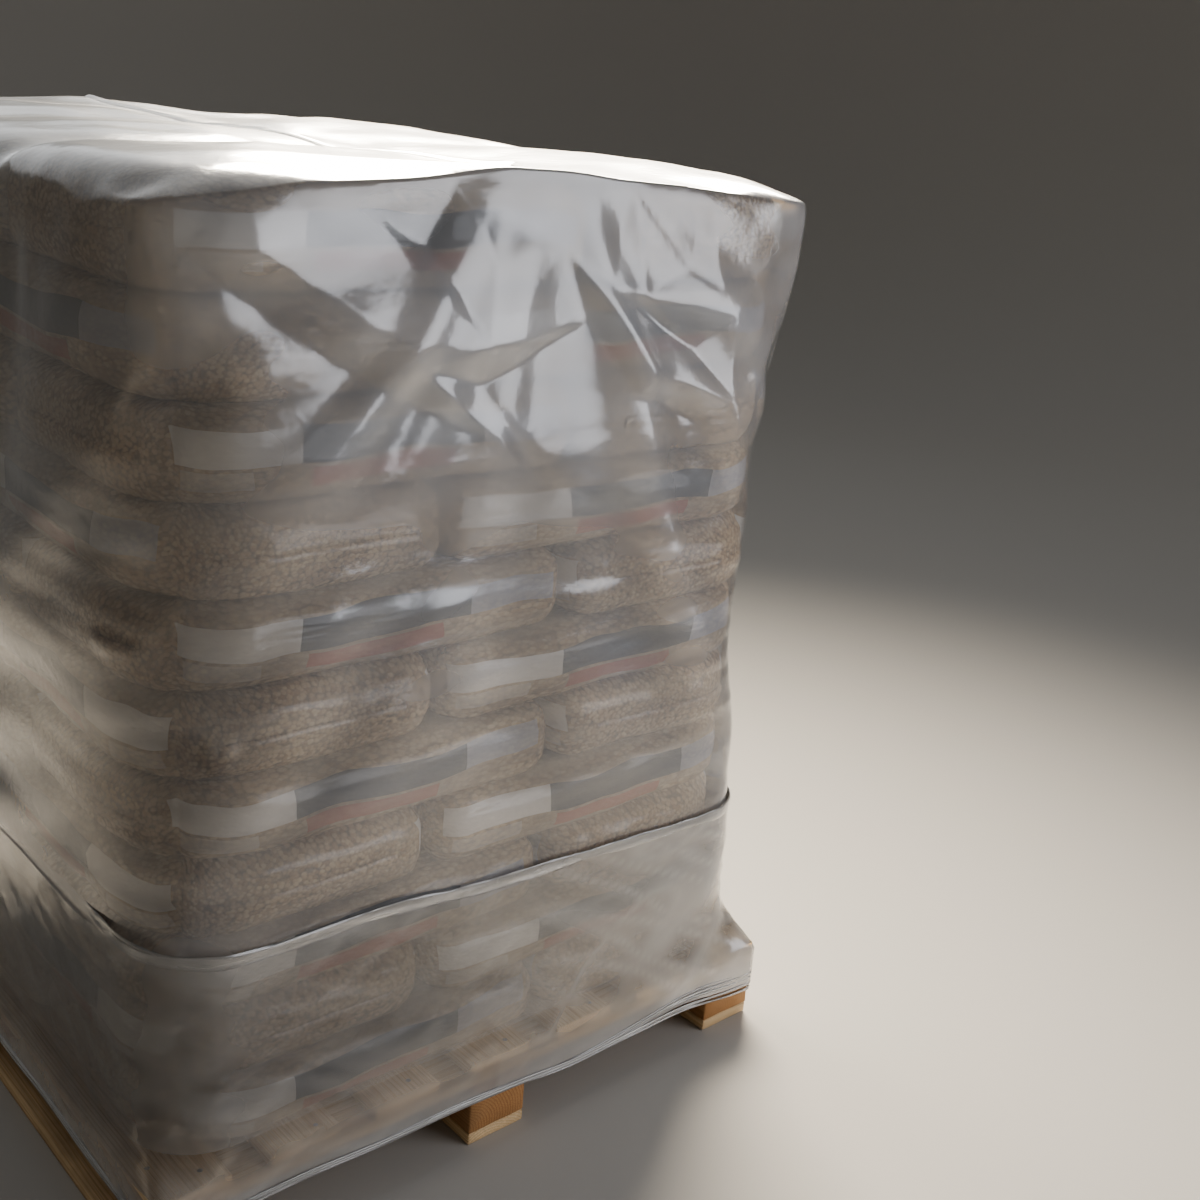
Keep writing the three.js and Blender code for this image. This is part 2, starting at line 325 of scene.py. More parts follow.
def fill_ramp(node, stops, interpolation="LINEAR"):
    """Sets a colour ramp's stops: place, linear colour and, where given, alpha."""
    ramp = node.color_ramp
    ramp.interpolation = interpolation
    while len(ramp.elements) < len(stops):
        ramp.elements.new(1.0)
    for element, (place, colour, *alpha) in zip(ramp.elements, stops):
        element.position = place
        element.color = (*colour, *(alpha or (1.0,)))
    return node


def colour_property(name, description, hex_colour):
    """A colour setting, from its sRGB hex value."""
    return FloatVectorProperty(name=name, description=description, subtype="COLOR", size=3,
                               min=0, max=1, default=linear(hex_colour))


def length_property(name, description, metres):
    """A length setting."""
    return FloatProperty(name=name, description=description, unit="LENGTH", subtype="DISTANCE",
                         min=0, default=metres, precision=4)


# Settings

class PalletSettings(bpy.types.PropertyGroup):
    """The pallet's wood and nails."""
    board_colour: colour_property("Board colour", "Early wood of the sawn pine boards", "D8BE98")
    board_late_colour: colour_property("Board late wood", "Darker lines of the boards' grain", "C8A97E")
    block_colour: colour_property("Block colour", "Early wood of the sawn blocks", "AE8358")
    block_late_colour: colour_property("Block late wood", "Darker lines of the blocks' grain", "9A7047")
    ring_width: length_property("Ring width", "Width of one year's growth in the wood", 4.5 * MM)
    edge_rounding: length_property("Edge rounding", "How far the sawn edges are worn off", 1.5 * MM)
    warp: length_property("Warp", "How far a board's faces wander from flat", 0.7 * MM)
    nail_head: length_property("Nail head", "Diameter of a nail's head", 7.5 * MM)


class SackSettings(bpy.types.PropertyGroup):
    """The sacks of pellets and what is printed on them."""
    pellet_colour: colour_property("Pellet colour", "Light face of a softwood pellet", "C4A47C")
    pellet_dark_colour: colour_property("Dark pellet", "Darker pellets, with more bark", "96754F")
    gap_colour: colour_property("Gap colour", "Shadow between two pellets", "4A3524")
    panel_colour: colour_property("Panel", "Bare white panel printed on the film", "E4DFD8")
    band_colour: colour_property("Band", "Charcoal band printed on the film", "4A5158")
    stripe_colour: colour_property("Stripe", "Brick red stripe printed on the film", "B4604C")
    milk_colour: colour_property("Milk", "Milky streaks of the film itself", "B3A48F")
    tint_colour: colour_property("Tint", "Pale blue tint near the end seams", "AEB7C9")
    pellet_size: length_property("Pellet size", "Thickness of a pellet", 6 * MM)
    crease_height: length_property("Crease height", "How far the film's folds stand up", 2.6 * MM)
    templates: IntProperty(name="Pressed shapes", default=4, min=1,
                           description="How many pressed shapes the sacks are taken from")


class HoodSettings(bpy.types.PropertyGroup):
    """The loose hood of polyethylene film."""
    bag_top: length_property("Bag top", "Height of the bag's flat top over the ground", 1.292)
    clearance: length_property("Clearance", "How far the drawn film stands off the sacks", 6 * MM)
    foot_radius: length_property("Foot radius", "Corner radius of the film in the wrap's hold", 0.100)
    loose_radius: length_property("Loose radius", "Corner radius of the film above the wrap", 0.07)
    top_radius: length_property("Top radius", "Corner radius of the film at its top", 0.085)
    slack: FloatProperty(name="Slack", default=0.012, min=0, max=0.2, subtype="FACTOR",
                         description="How much more film there is round the top than it needs")
    bottom: length_property("Bottom", "Height of the hood's lower edge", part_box("hood")[0][2])
    held_below: length_property("Held below", "The stretch wrap holds the hood below this", 0.405)
    step: length_property("Step", "Size of one cell of the cloth", 18 * MM)
    film_colour: colour_property("Film colour", "Haze of the clear film", "D8DADE")
    haze: FloatProperty(name="Haze", default=0.21, min=0, max=1, subtype="FACTOR",
                        description="Share of the light scattered where the film clings")
    loose_haze: FloatProperty(name="Loose haze", default=0.36, min=0, max=1, subtype="FACTOR",
                              description="How much more it scatters where it stands well off")


class WrapSettings(bpy.types.PropertyGroup):
    """The stretch film at the foot of the load."""
    step: length_property("Step", "Size of one cell of the film", 9 * MM)
    fold_height: length_property("Fold height", "How far the film's pulled folds stand up", 2.2 * MM)
    band_height: length_property("Band height", "Height of the gathered upper edge", 18 * MM)
    strand_count: IntProperty(name="Strands", default=7, min=0,
                              description="Gathered strands along the lower edge")
    film_colour: colour_property("Film colour", "Haze of the stretch film", "E3E1DD")
    haze: FloatProperty(name="Haze", default=0.1, min=0, max=1, subtype="FACTOR",
                        description="Share of the light that the film scatters")


class StageSettings(bpy.types.PropertyGroup):
    """The plain studio round the pallet."""
    floor_colour: colour_property("Floor colour", "Plain pale floor and wall", "BDB9B3")
    key_power: FloatProperty(name="Key light", default=120, min=0, unit="POWER",
                             description="Large warm light from behind and above")
    front_power: FloatProperty(name="Front light", default=29, min=0, unit="POWER",
                               description="Tall soft box on the floor at the front right")
    air_strength: FloatProperty(name="Air", default=0.17, min=0,
                                description="Brightness of the dim light from all round")
    back_glow: FloatProperty(name="Back glow", default=0.65, min=0,
                             description="Brightness of the soft glow behind and above")
    focal_length: FloatProperty(name="Focal length", default=44.4, min=1, unit="CAMERA",
                                description="For a picture 36 mm wide")


# Wood

def sawn_wood(name, early, late, ring_width, saw_mark=3.5 * MM):
    """Sawn softwood, rough from the band saw: it shows growth rings, fibres, knots and saw lines.

    The grain attribute holds metres along, across and through the board, from the tree's pith.
    """
    material, tree, output = new_material(name)
    grain = add_node(tree, "Attribute", attribute_name="grain").outputs["Vector"]
    # The rings lie round the pith, and wander by up to 14 mm in lumps of 70 by 400 mm
    across = add_node(tree, "VectorMath", {0: grain, 1: (0, 1, 1)}, operation="MULTIPLY")
    wander_at = add_node(tree, "VectorMath", {0: grain, 1: (2.5, 14, 14)}, operation="MULTIPLY")
    wander = add_node(tree, "TexNoise", {"Vector": wander_at.outputs[0], "Scale": 1.0, "Detail": 2.0})
    radius = add_node(tree, "VectorMath", {0: across.outputs[0]}, operation="LENGTH")
    bent = add_node(tree, "Math", {0: wander.outputs["Fac"], 1: 14 * MM,
                                   2: radius.outputs["Value"]}, operation="MULTIPLY_ADD")
    rings = add_node(tree, "Math", {0: bent.outputs[0], 1: 1 / ring_width}, operation="MULTIPLY")
    ring = add_node(tree, "Math", {0: rings.outputs[0]}, operation="FRACT")
    ring_colour = fill_ramp(add_node(tree, "ValToRGB", {"Fac": ring.outputs[0]}),
                            [(0.0, early), (0.55, early), (0.86, late), (0.96, late), (1.0, early)])
    # Fibres: streaks about 1 mm wide and 70 mm long. Real ones are finer than the render shows
    fibre_at = add_node(tree, "VectorMath", {0: grain, 1: (14, 900, 900)}, operation="MULTIPLY")
    fibre = add_node(tree, "TexNoise", {"Vector": fibre_at.outputs[0], "Scale": 1.0, "Detail": 3.0})
    fibre_tone = fill_ramp(add_node(tree, "ValToRGB", {"Fac": fibre.outputs["Fac"]}),
                           [(0.3, (0.72, 0.7, 0.68)), (0.7, (1.12, 1.1, 1.08))])
    grained = add_node(tree, "Mix", {"Factor": 1.0, "A": ring_colour.outputs["Color"],
                                     "B": fibre_tone.outputs["Color"]},
                       data_type="RGBA", blend_type="MULTIPLY")
    # Knots: dark eyes 10 to 25 mm across and about three times as long, some 300 mm apart
    knot_at = add_node(tree, "VectorMath", {0: grain, 1: (3.2, 9, 9)}, operation="MULTIPLY")
    knot = add_node(tree, "TexVoronoi", {"Vector": knot_at.outputs[0], "Scale": 1.0, "Randomness": 1.0})
    knot_mask = fill_ramp(add_node(tree, "ValToRGB", {"Fac": knot.outputs["Distance"]}),
                          [(0.05, (1, 1, 1)), (0.12, (0, 0, 0))])
    knotted = add_node(tree, "Mix", {"Factor": knot_mask.outputs["Color"],
                                     "A": grained.outputs["Result"],
                                     "B": (*linear("5E3A20"), 1)}, data_type="RGBA")
    # Yard dirt and weather, in soft patches of about 110 mm
    dirt = add_node(tree, "TexNoise", {"Vector": grain, "Scale": 9.0, "Detail": 4.0, "Roughness": 0.6})
    dirt_mask = fill_ramp(add_node(tree, "ValToRGB", {"Fac": dirt.outputs["Fac"]}),
                          [(0.48, (0, 0, 0)), (0.75, (0.5, 0.5, 0.5))])
    dirty = add_node(tree, "Mix", {"Factor": dirt_mask.outputs["Color"], "A": knotted.outputs["Result"],
                                   "B": (*linear("8C7558"), 1)}, data_type="RGBA")
    # Saw lines stand across the board, about 2 mm apart
    saw = add_node(tree, "TexWave", {"Vector": grain, "Scale": 1 / saw_mark / 2, "Distortion": 1.5,
                                     "Detail": 2.0, "Detail Scale": 2.0}, bands_direction="X")
    rough = add_node(tree, "Math", {0: saw.outputs["Fac"], 1: 0.05, 2: fibre.outputs["Fac"]},
                     operation="MULTIPLY_ADD")
    bump = add_node(tree, "Bump", {"Height": rough.outputs[0], "Strength": 0.35, "Distance": 0.5 * MM})
    shader = add_node(tree, "BsdfPrincipled", {"Base Color": dirty.outputs["Result"], "Roughness": 0.78,
                                               "IOR": 1.5, "Normal": bump.outputs["Normal"]})
    tree.links.new(shader.outputs[0], output.inputs["Surface"])
    return material


def wire_nail_steel():
    """Drawn and headed steel wire, bright from the press: small grey glints, 1 mm apart."""
    material, tree, output = new_material("drawn_steel_nail")
    speckle = add_node(tree, "TexNoise", {"Scale": 900.0, "Detail": 2.0})
    gloss = fill_ramp(add_node(tree, "ValToRGB", {"Fac": speckle.outputs["Fac"]}),
                      [(0.3, (0.28, 0.28, 0.28)), (0.7, (0.5, 0.5, 0.5))])
    shader = add_node(tree, "BsdfPrincipled", {"Base Color": (*linear("9A9894"), 1), "Metallic": 1.0,
                                               "Roughness": gloss.outputs["Color"]})
    tree.links.new(shader.outputs[0], output.inputs["Surface"])
    return material


def sawn_board(node, material, settings, seed, cell=25 * MM):
    """One board or block: sawn faces that wander a little, worn edges, and a waney edge."""
    low, high = (np.array(corner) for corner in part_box(node))
    size = high - low
    rng = np.random.default_rng(seed)
    edge = 1.5 * settings.edge_rounding
    cuts = []
    for axis in range(3):
        steps = max(1, round((size[axis] - 2 * edge) / cell))
        middle = np.linspace(edge, size[axis] - edge, steps + 1)
        cuts.append(np.concatenate([[0.0], middle, [size[axis]]]) + low[axis])
    places, faces = box_grid(*cuts)
    centre = (low + high) / 2
    along = int(np.argmax(size)) if max(size) > 0.15 else 1
    thin = int(np.argmin(size))
    across = 3 - along - thin if along != thin else 0
    grain = (places - centre)[:, [along, across, thin]]
    pith = np.array([rng.uniform(-9, 9), rng.uniform(-60, 60) * MM, rng.uniform(25, 70) * MM])
    # Round the edges: where a point lies on two faces of the box, pull it in on both
    outward = (np.isclose(places, high) * 1.0) - (np.isclose(places, low) * 1.0)
    on_edge = np.abs(outward).sum(axis=1) >= 2
    worn = 0.35 + 0.65 * np.clip(noise(places * 30, seed) + 0.5, 0, 2)
    pull = np.where(on_edge, settings.edge_rounding * worn, 0.0)
    # About half of the boards have a waney edge, which follows the outside of the log
    wane = 5 * MM * ease(0.1, 0.7, noise(places * 2.2 + seed, seed + 1))
    pull = pull + np.where(on_edge, wane * (rng.random() < 0.5), 0.0)
    places = places - outward * pull[:, None]
    warp = noise(places * 7, seed + 2) * settings.warp
    places[:, thin] -= np.abs(warp) * np.sign(places[:, thin] - centre[thin])
    piece = mesh_piece("pine_" + node, places, faces, material, {"grain": grain + pith})
    settle(piece, "block_wood" if node in BLOCKS else "board_wood", node)
    return piece


def add_pallet_wood(settings):
    """The 22 pieces of sawn wood."""
    boards = sawn_wood("sawn_pine_board", settings.board_colour, settings.board_late_colour,
                       settings.ring_width)
    blocks = sawn_wood("sawn_pine_block", settings.block_colour, settings.block_late_colour,
                       settings.ring_width)
    for seed, node in enumerate(SKIDS + STRINGERS + DECK_BOARDS):
        sawn_board(node, boards, settings, seed + 20)
    for seed, node in enumerate(BLOCKS):
        sawn_board(node, blocks, settings, seed + 60)


def nail_head(centre, up, radius, sides=12):
    """A flat round nail head with a worn rim, driven nearly flush with the face."""
    angles = [2 * math.pi * step / sides for step in range(sides)]
    verts = [(radius * share * math.cos(angle), radius * share * math.sin(angle), rise)
             for share, rise in ((1.0, -0.9 * MM), (1.0, 0.1 * MM), (0.8, 0.35 * MM))
             for angle in angles]
    verts.append((0, 0, 0.4 * MM))
    faces = ring_faces(sides, 3)
    faces += [(2 * sides + step, 2 * sides + (step + 1) % sides, 3 * sides) for step in range(sides)]
    verts = np.array(verts)
    verts[:, 2] *= up
    return verts + np.array(centre), faces if up > 0 else turned_over(faces)


def add_nails(settings):
    """Two nails at each crossing of deck board and stringer, and under each block."""
    rng = np.random.default_rng(5)
    crossings = [(deck, stringer, 1) for deck in DECK_BOARDS for stringer in STRINGERS]
    crossings += [(block, block.rsplit("_", 1)[0].replace("block", "skid"), -1) for block in BLOCKS]
    parts = []
    for upper, lower, up in crossings:
        box_a = np.array(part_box(upper))
        box_b = np.array(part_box(lower))
        low = np.maximum(box_a[0], box_b[0])
        high = np.minimum(box_a[1], box_b[1])
        level = box_a[1][2] - 0.3 * MM if up > 0 else box_b[0][2] + 0.6 * MM
        for share in (0.27, 0.73):
            x = low[0] + (high[0] - low[0]) * share + rng.normal() * 4 * MM
            y = low[1] + (high[1] - low[1]) * (1 - share) + rng.normal() * 4 * MM
            parts.append(nail_head((x, y, level), up, settings.nail_head / 2))
    verts, faces = join_parts(parts)
    piece = mesh_piece("wire_nails", verts, faces, wire_nail_steel())
    settle(piece, "board_wood")


# Sacks

def sack_film_over_pellets(settings):
    """Wood pellets behind clear blown film, printed on its outside.

    The pellets give a coarse tan grain with dark gaps. The film over them is the coat: it
    catches the light along its own creases. The printed areas hide the pellets' colour.
    """
    material, tree, output = new_material("printed_film_over_wood_pellets")
    place = add_node(tree, "Attribute", attribute_name="place").outputs["Vector"]
    seed = add_node(tree, "Attribute", attribute_name="sack_seed").outputs["Fac"]
    apart = add_node(tree, "VectorMath", {0: (13.1, 7.7, 3.3), "Scale": seed}, operation="SCALE")
    here = add_node(tree, "VectorMath", {0: place, 1: apart.outputs[0]}, operation="ADD").outputs[0]
    # Pellets lie every way, mostly along the sack: about 5 mm thick and twice as long
    at = add_node(tree, "VectorMath", {0: here, 1: (0.5, 0.8, 1.0)}, operation="MULTIPLY").outputs[0]
    cells = add_node(tree, "TexVoronoi", {"Vector": at, "Scale": 1 / (0.8 * settings.pellet_size)})
    depth = cells.outputs["Distance"]
    tone_value = add_node(tree, "SeparateColor", {"Color": cells.outputs["Color"]}).outputs["Red"]
    pellet = fill_ramp(add_node(tree, "ValToRGB", {"Fac": tone_value}),
                       [(0.0, settings.pellet_dark_colour), (0.45, settings.pellet_colour),
                        (1.0, linear("DCC39C"))])
    gap = fill_ramp(add_node(tree, "ValToRGB", {"Fac": depth}),
                    [(0.45, (0, 0, 0)), (0.85, (0.8, 0.8, 0.8))])
    bare = add_node(tree, "Mix", {"Factor": gap.outputs["Color"], "A": pellet.outputs["Color"],
                                  "B": (*settings.gap_colour, 1)}, data_type="RGBA").outputs["Result"]
    # Print: two rows of flat areas along the sack's side, counted from one end. They sway by
    # up to 20 mm in waves of 140 mm, as film does over pellets
    sway = add_node(tree, "TexNoise", {"Vector": here, "Scale": 7.0, "Detail": 1.0})
    moved = add_node(tree, "VectorMath", {0: sway.outputs["Color"], 1: (0.04, 0.04, 0.028),
                                          2: place}, operation="MULTIPLY_ADD")
    moved = add_node(tree, "VectorMath", {0: moved.outputs[0], 1: (0.02, 0.02, 0.014)},
                     operation="SUBTRACT")
    parts = add_node(tree, "SeparateXYZ", {"Vector": moved.outputs[0]})
    share = add_node(tree, "MapRange", {"Value": parts.outputs["X"], "From Min": -SACK_LENGTH / 2,
                                        "From Max": SACK_LENGTH / 2}).outputs["Result"]
    white, dark, red, tint = (tuple(colour) for colour in (settings.panel_colour, settings.band_colour,
                                                           settings.stripe_colour, settings.tint_colour))
    upper = fill_ramp(add_node(tree, "ValToRGB", {"Fac": share}),
                      [(0.0, tint, 0.0), (0.035, white, 0.95), (0.31, dark, 0.92), (0.73, tint, 0.55),
                       (0.93, tint, 0.0)], "CONSTANT")
    lower = fill_ramp(add_node(tree, "ValToRGB", {"Fac": share}),
                      [(0.0, tint, 0.0), (0.05, white, 0.35), (0.22, red, 0.0), (0.33, red, 0.75),
                       (0.66, white, 0.0)], "CONSTANT")
    rows = []
    for ramp, low, high in ((upper, -6 * MM, 30 * MM), (lower, -30 * MM, -10 * MM)):
        over = add_node(tree, "Math", {0: parts.outputs["Z"], 1: low}, operation="GREATER_THAN")
        under = add_node(tree, "Math", {0: parts.outputs["Z"], 1: high}, operation="LESS_THAN")
        both = add_node(tree, "Math", {0: over.outputs[0], 1: under.outputs[0]}, operation="MULTIPLY")
        rows.append(add_node(tree, "Math", {0: both.outputs[0], 1: ramp.outputs["Alpha"]},
                             operation="MULTIPLY").outputs[0])
    # The film itself is streaked with milk and dust, in streaks 20 mm high and 200 mm long. They
    # are fewer at the ends, where the film is drawn tight
    streak_at = add_node(tree, "VectorMath", {0: here, 1: (5, 7, 48)}, operation="MULTIPLY")
    streak = add_node(tree, "TexNoise", {"Vector": streak_at.outputs[0], "Scale": 1.0, "Detail": 2.0})
    streaks = add_node(tree, "MapRange", {"Value": streak.outputs["Fac"], "From Min": 0.3,
                                          "From Max": 0.7, "To Min": 0.3, "To Max": 0.9}).outputs[0]
    from_middle = add_node(tree, "Math", {0: parts.outputs["X"]}, operation="ABSOLUTE")
    tight = add_node(tree, "MapRange", {"Value": from_middle.outputs[0], "From Min": 0.18,
                                        "From Max": 0.27, "To Min": 1.0, "To Max": 0.6}).outputs[0]
    milky = add_node(tree, "Math", {0: streaks, 1: tight}, operation="MULTIPLY").outputs[0]
    seen = add_node(tree, "Mix", {"Factor": milky, "A": bare, "B": (*settings.milk_colour, 1)},
                    data_type="RGBA").outputs["Result"]
    for row, ramp in zip(rows, (upper, lower)):
        seen = add_node(tree, "Mix", {"Factor": row, "A": seen, "B": ramp.outputs["Color"]},
                        data_type="RGBA").outputs["Result"]
    lumps = add_node(tree, "Bump", {"Height": depth, "Strength": 0.5, "Distance": 1.6 * MM},
                     invert=True)
    folds = add_node(tree, "Bump", {"Height": streak.outputs["Fac"], "Strength": 0.7,
                                    "Distance": 3.5 * MM})
    shader = add_node(tree, "BsdfPrincipled", {
        "Base Color": seen, "Roughness": 0.6, "Specular IOR Level": 0.0,
        "Normal": lumps.outputs["Normal"], "Coat Weight": 0.9, "Coat Roughness": 0.14,
        "Coat IOR": 1.5, "Coat Normal": folds.outputs["Normal"]})
    tree.links.new(shader.outputs[0], output.inputs["Surface"])
    return material


def to_disc(corner):
    """Points of a unit square's quarter, moved onto a unit disc's quarter."""
    widest = corner.max(axis=1)
    length = np.linalg.norm(corner, axis=1)
    return corner * np.where(length > 1e-9, widest / np.maximum(length, 1e-9), 1.0)[:, None]


def pillow(grid, half, corner_radius, side_radius):
    """A box grid from -1 to 1, shaped as a flat pillow with round corners and round sides."""
    signs = np.sign(grid)
    plan = np.abs(grid[:, :2]) * half[:2]
    inner = half[:2] - corner_radius
    beyond = plan - inner
    corner = (beyond > 0).all(axis=1)
    plan[corner] = inner + to_disc(beyond[corner] / corner_radius) * corner_radius
    outside = np.maximum(plan - inner, 0)
    reach = np.where(corner, np.linalg.norm(outside, axis=1), outside.max(axis=1))
    heading = outside / np.maximum(reach, 1e-9)[:, None]
    rim = np.clip((reach - corner_radius + side_radius) / side_radius, 0, 1)
    turned = to_disc(np.stack([rim, np.abs(grid[:, 2])], axis=1))
    at_rim = rim > 0
    new_reach = np.where(at_rim, corner_radius - side_radius + turned[:, 0] * side_radius, reach)
    plan = plan + heading * (new_reach - reach)[:, None]
    height = np.where(at_rim, turned[:, 1], np.abs(grid[:, 2])) * half[2]
    return signs * np.column_stack([plan, height])


# The height of a sack before it is pressed, and how many cells it has along, across and upward
SACK_HEIGHT = 0.103
SACK_CELLS = (42, 28, 14)
# The radius of the load's upright corners
LOAD_CORNER = 0.135
# Under 1, this power makes the pressed sides stand squarer
SQUARENESS = 0.62
# How far the sacks of the top layer, which nothing presses, rise in their middle
CROWN = 18 * MM
# The room that a sack leaves to its neighbours
SACK_GAP = 3 * MM


def press_sack(seed, grid, faces):
    """A filled sack pressed between two flat plates, as the layers above and below press it."""
    half = np.array([SACK_LENGTH, SACK_WIDTH, SACK_HEIGHT * 0.97]) / 2
    start = pillow(grid, half, corner_radius=46 * MM, side_radius=SACK_HEIGHT * 0.36)
    # It starts uneven, with lumps of 110 mm and dents of 40 mm, and its film is cut a little larger
    lumps = np.stack([noise(start * 9 + axis * 31, seed) for axis in range(3)], axis=1)
    dents = np.stack([noise(start * 26 + axis * 57, seed + 3) for axis in range(3)], axis=1)
    piece = mesh_piece("pressed_sack", start * 0.985 + lumps * 4 * MM + dents * 1.5 * MM, faces)
    piece.shape_key_add(name="Basis")
    cut = piece.shape_key_add(name="cut")
    cut.data.foreach_set("co", (start * np.array([1.025, 1.03, 1.02])).ravel())
    # The plates stand where the layers below and above it lie
    plates = []
    for side in (-1, 1):
        corners = [(-0.5, -0.5, 0), (0.5, -0.5, 0), (0.5, 0.5, 0), (-0.5, 0.5, 0)]
        plate = mesh_piece("plate", np.array(corners) + np.array([0, 0, side * SACK_HEIGHT / 2]),
                           [(0, 1, 2, 3) if side < 0 else (3, 2, 1, 0)])
        plate.modifiers.new("press", "COLLISION")
        set_values(plate.collision, thickness_outer=1 * MM, cloth_friction=2)
        plates.append(plate)
    cloth = piece.modifiers.new("film", "CLOTH")
    set_values(cloth.settings, quality=5, mass=0.1, tension_stiffness=25, compression_stiffness=25,
               shear_stiffness=10, bending_stiffness=0.05, tension_damping=15,
               compression_damping=15, air_damping=4, use_pressure=True,
               uniform_pressure_force=1.0, rest_shape_key=cut)
    cloth.settings.effector_weights.gravity = 0
    set_values(cloth.collision_settings, collision_quality=2, distance_min=1 * MM,
               use_self_collision=False)
    places = run_cloth(piece, 20)
    for used in [piece, *plates]:
        bpy.data.objects.remove(used)
    return places


def sack_end_seam(local, sign, seed):
    """The welded end of the tube of film: a narrow crimped strip, folded flat to the end."""
    end = local[np.sign(local[:, 0]) == sign]
    rows = []
    half_width = SACK_WIDTH / 2 - 62 * MM
    for y in np.linspace(-half_width, half_width, 33):
        near = end[np.argsort((end[:, 1] - y) ** 2 + end[:, 2] ** 2)[:4]]
        reach = np.abs(near[:, 0]).max()
        wave = noise(np.array([[y * 40, seed, sign]]), 5)[0]
        rows.append([(sign * (reach + 0.4 * MM), y, 4 * MM + wave * 2 * MM),
                     (sign * (reach + 2.6 * MM), y, 1 * MM + wave * 2 * MM),
                     (sign * (reach + 2.4 * MM + wave * 1 * MM), y, -6 * MM + wave * 3 * MM),
                     (sign * (reach + 1.2 * MM), y, -11 * MM + wave * 3 * MM)])
    faces = strip_faces(len(rows), 4)
    return np.array(rows).reshape(-1, 3), faces if sign > 0 else turned_over(faces)


def round_load(places):
    """Rounds the load's four upright corners, as the film round them presses the sacks in."""
    signs = np.sign(places[:, :2])
    plan = np.abs(places[:, :2])
    inner = np.array([LOAD_HALF_X, LOAD_HALF_Y]) - LOAD_CORNER
    corner = (plan > inner).all(axis=1)
    plan[corner] = inner + to_disc((plan[corner] - inner) / LOAD_CORNER) * LOAD_CORNER
    return np.column_stack([signs * plan, places[:, 2]])


def place_sack(name, shape, faces, size, centre, angle, seed, crown, settings, material):
    """One sack: a pressed shape at its size, creased, with its seams, turned into its place."""
    rng = np.random.default_rng(seed)
    turn_about = ((1, 1, 1), (-1, -1, 1), (1, -1, -1), (-1, 1, -1))[int(rng.integers(4))]
    local = shape * np.array(turn_about)
    half = np.array(size) / 2
    local = local - (local.max(axis=0) + local.min(axis=0)) / 2
    share = local / local.max(axis=0)
    # The weight above squares the shoulders: the sides bulge over most of their height
    share[:, 2] = np.sign(share[:, 2]) * np.abs(share[:, 2]) ** SQUARENESS
    local = share * half
    # Creases run along the sack where the tube of film is slack: 30 and 16 mm apart, on lumps
    on_side = ease(0.72, 0.95, np.abs(share[:, :2]).max(axis=1))
    folds = creases(local * np.array([3.5, 3.5, 34]) + seed, seed)
    folds = folds + 0.5 * creases(local * np.array([8, 8, 62]) + seed, seed + 5)
    lumps = noise(local * np.array([16, 16, 26]), seed + 1)
    heading = np.column_stack([share[:, :2] ** 7, np.zeros(len(local))])
    heading /= np.maximum(np.linalg.norm(heading, axis=1), 0.2)[:, None]
    relief = (folds - 0.35) * settings.crease_height + lumps * 2 * MM
    local = local + heading * (on_side * relief)[:, None]
    # A sack of the top layer, which nothing presses, is domed
    dome = (np.clip(1 - share[:, 0] ** 2, 0, 1) * np.clip(1 - share[:, 1] ** 2, 0, 1)) ** 0.6
    local[:, 2] += crown * dome * (share[:, 2] > 0) * (1 + 0.25 * lumps)
    body = (local, faces)
    seams = [sack_end_seam(local, sign, seed) for sign in (-1, 1)]
    verts, all_faces = join_parts([body, *seams])
    cos, sin = math.cos(angle), math.sin(angle)
    turn = np.array([[cos, -sin, 0], [sin, cos, 0], [0, 0, 1]])
    return mesh_piece(name, round_load(verts @ turn.T + np.array(centre)), all_faces, material,
                      {"place": verts, "sack_seed": np.full(len(verts), rng.random() * 9)})


def add_sacks(settings):
    """Eleven layers of five sacks. The crosswise column changes sides from layer to layer."""
    material = sack_film_over_pellets(settings)
    spread = [np.sin(np.linspace(-1, 1, count + 1) * math.pi / 2) * 0.35
              + np.linspace(-1, 1, count + 1) * 0.65 for count in SACK_CELLS]
    grid, faces = box_grid(*spread)
    shapes = [press_sack(seed, grid, faces) for seed in range(settings.templates)]
    rng = np.random.default_rng(3)
    quarter = math.pi / 2
    for layer, (node, (low, high)) in enumerate(zip(LAYER_NODES, LAYER_SPANS)):
        side = -1 if layer % 2 == 0 else 1
        places = []
        for row in range(3):
            places.append((side * (LOAD_HALF_X - SACK_LENGTH / 2), (row - 1) * SACK_WIDTH,
                           0 if row == 0 else 2 * quarter * int(rng.integers(2))))
        for end in (-1, 1):
            places.append((-side * (LOAD_HALF_X - SACK_WIDTH / 2), end * LOAD_HALF_Y / 2,
                           quarter * (2 * int(rng.integers(2)) - 1)))
        # Each one lies a little off its place, as a stacker leaves it
        for number, (x, y, angle) in enumerate(places):
            seed = layer * 5 + number + 100
            length = SACK_LENGTH if number < 3 else LOAD_HALF_Y
            size = (length - SACK_GAP, SACK_WIDTH - SACK_GAP, high - low + 1 * MM)
            drift = rng.normal(size=2) * 1.5 * MM
            centre = (x + drift[0], y + drift[1], (low + high) / 2)
            piece = place_sack("pellet_sack_%02d_%d" % (layer + 1, number + 1),
                               shapes[seed % len(shapes)], faces, size, centre,
                               angle + rng.normal() * 0.004, seed,
                               CROWN if node == LAYER_NODES[-1] else 0.0, settings, material)
            settle(piece, "pellet_sack", node)


# Film

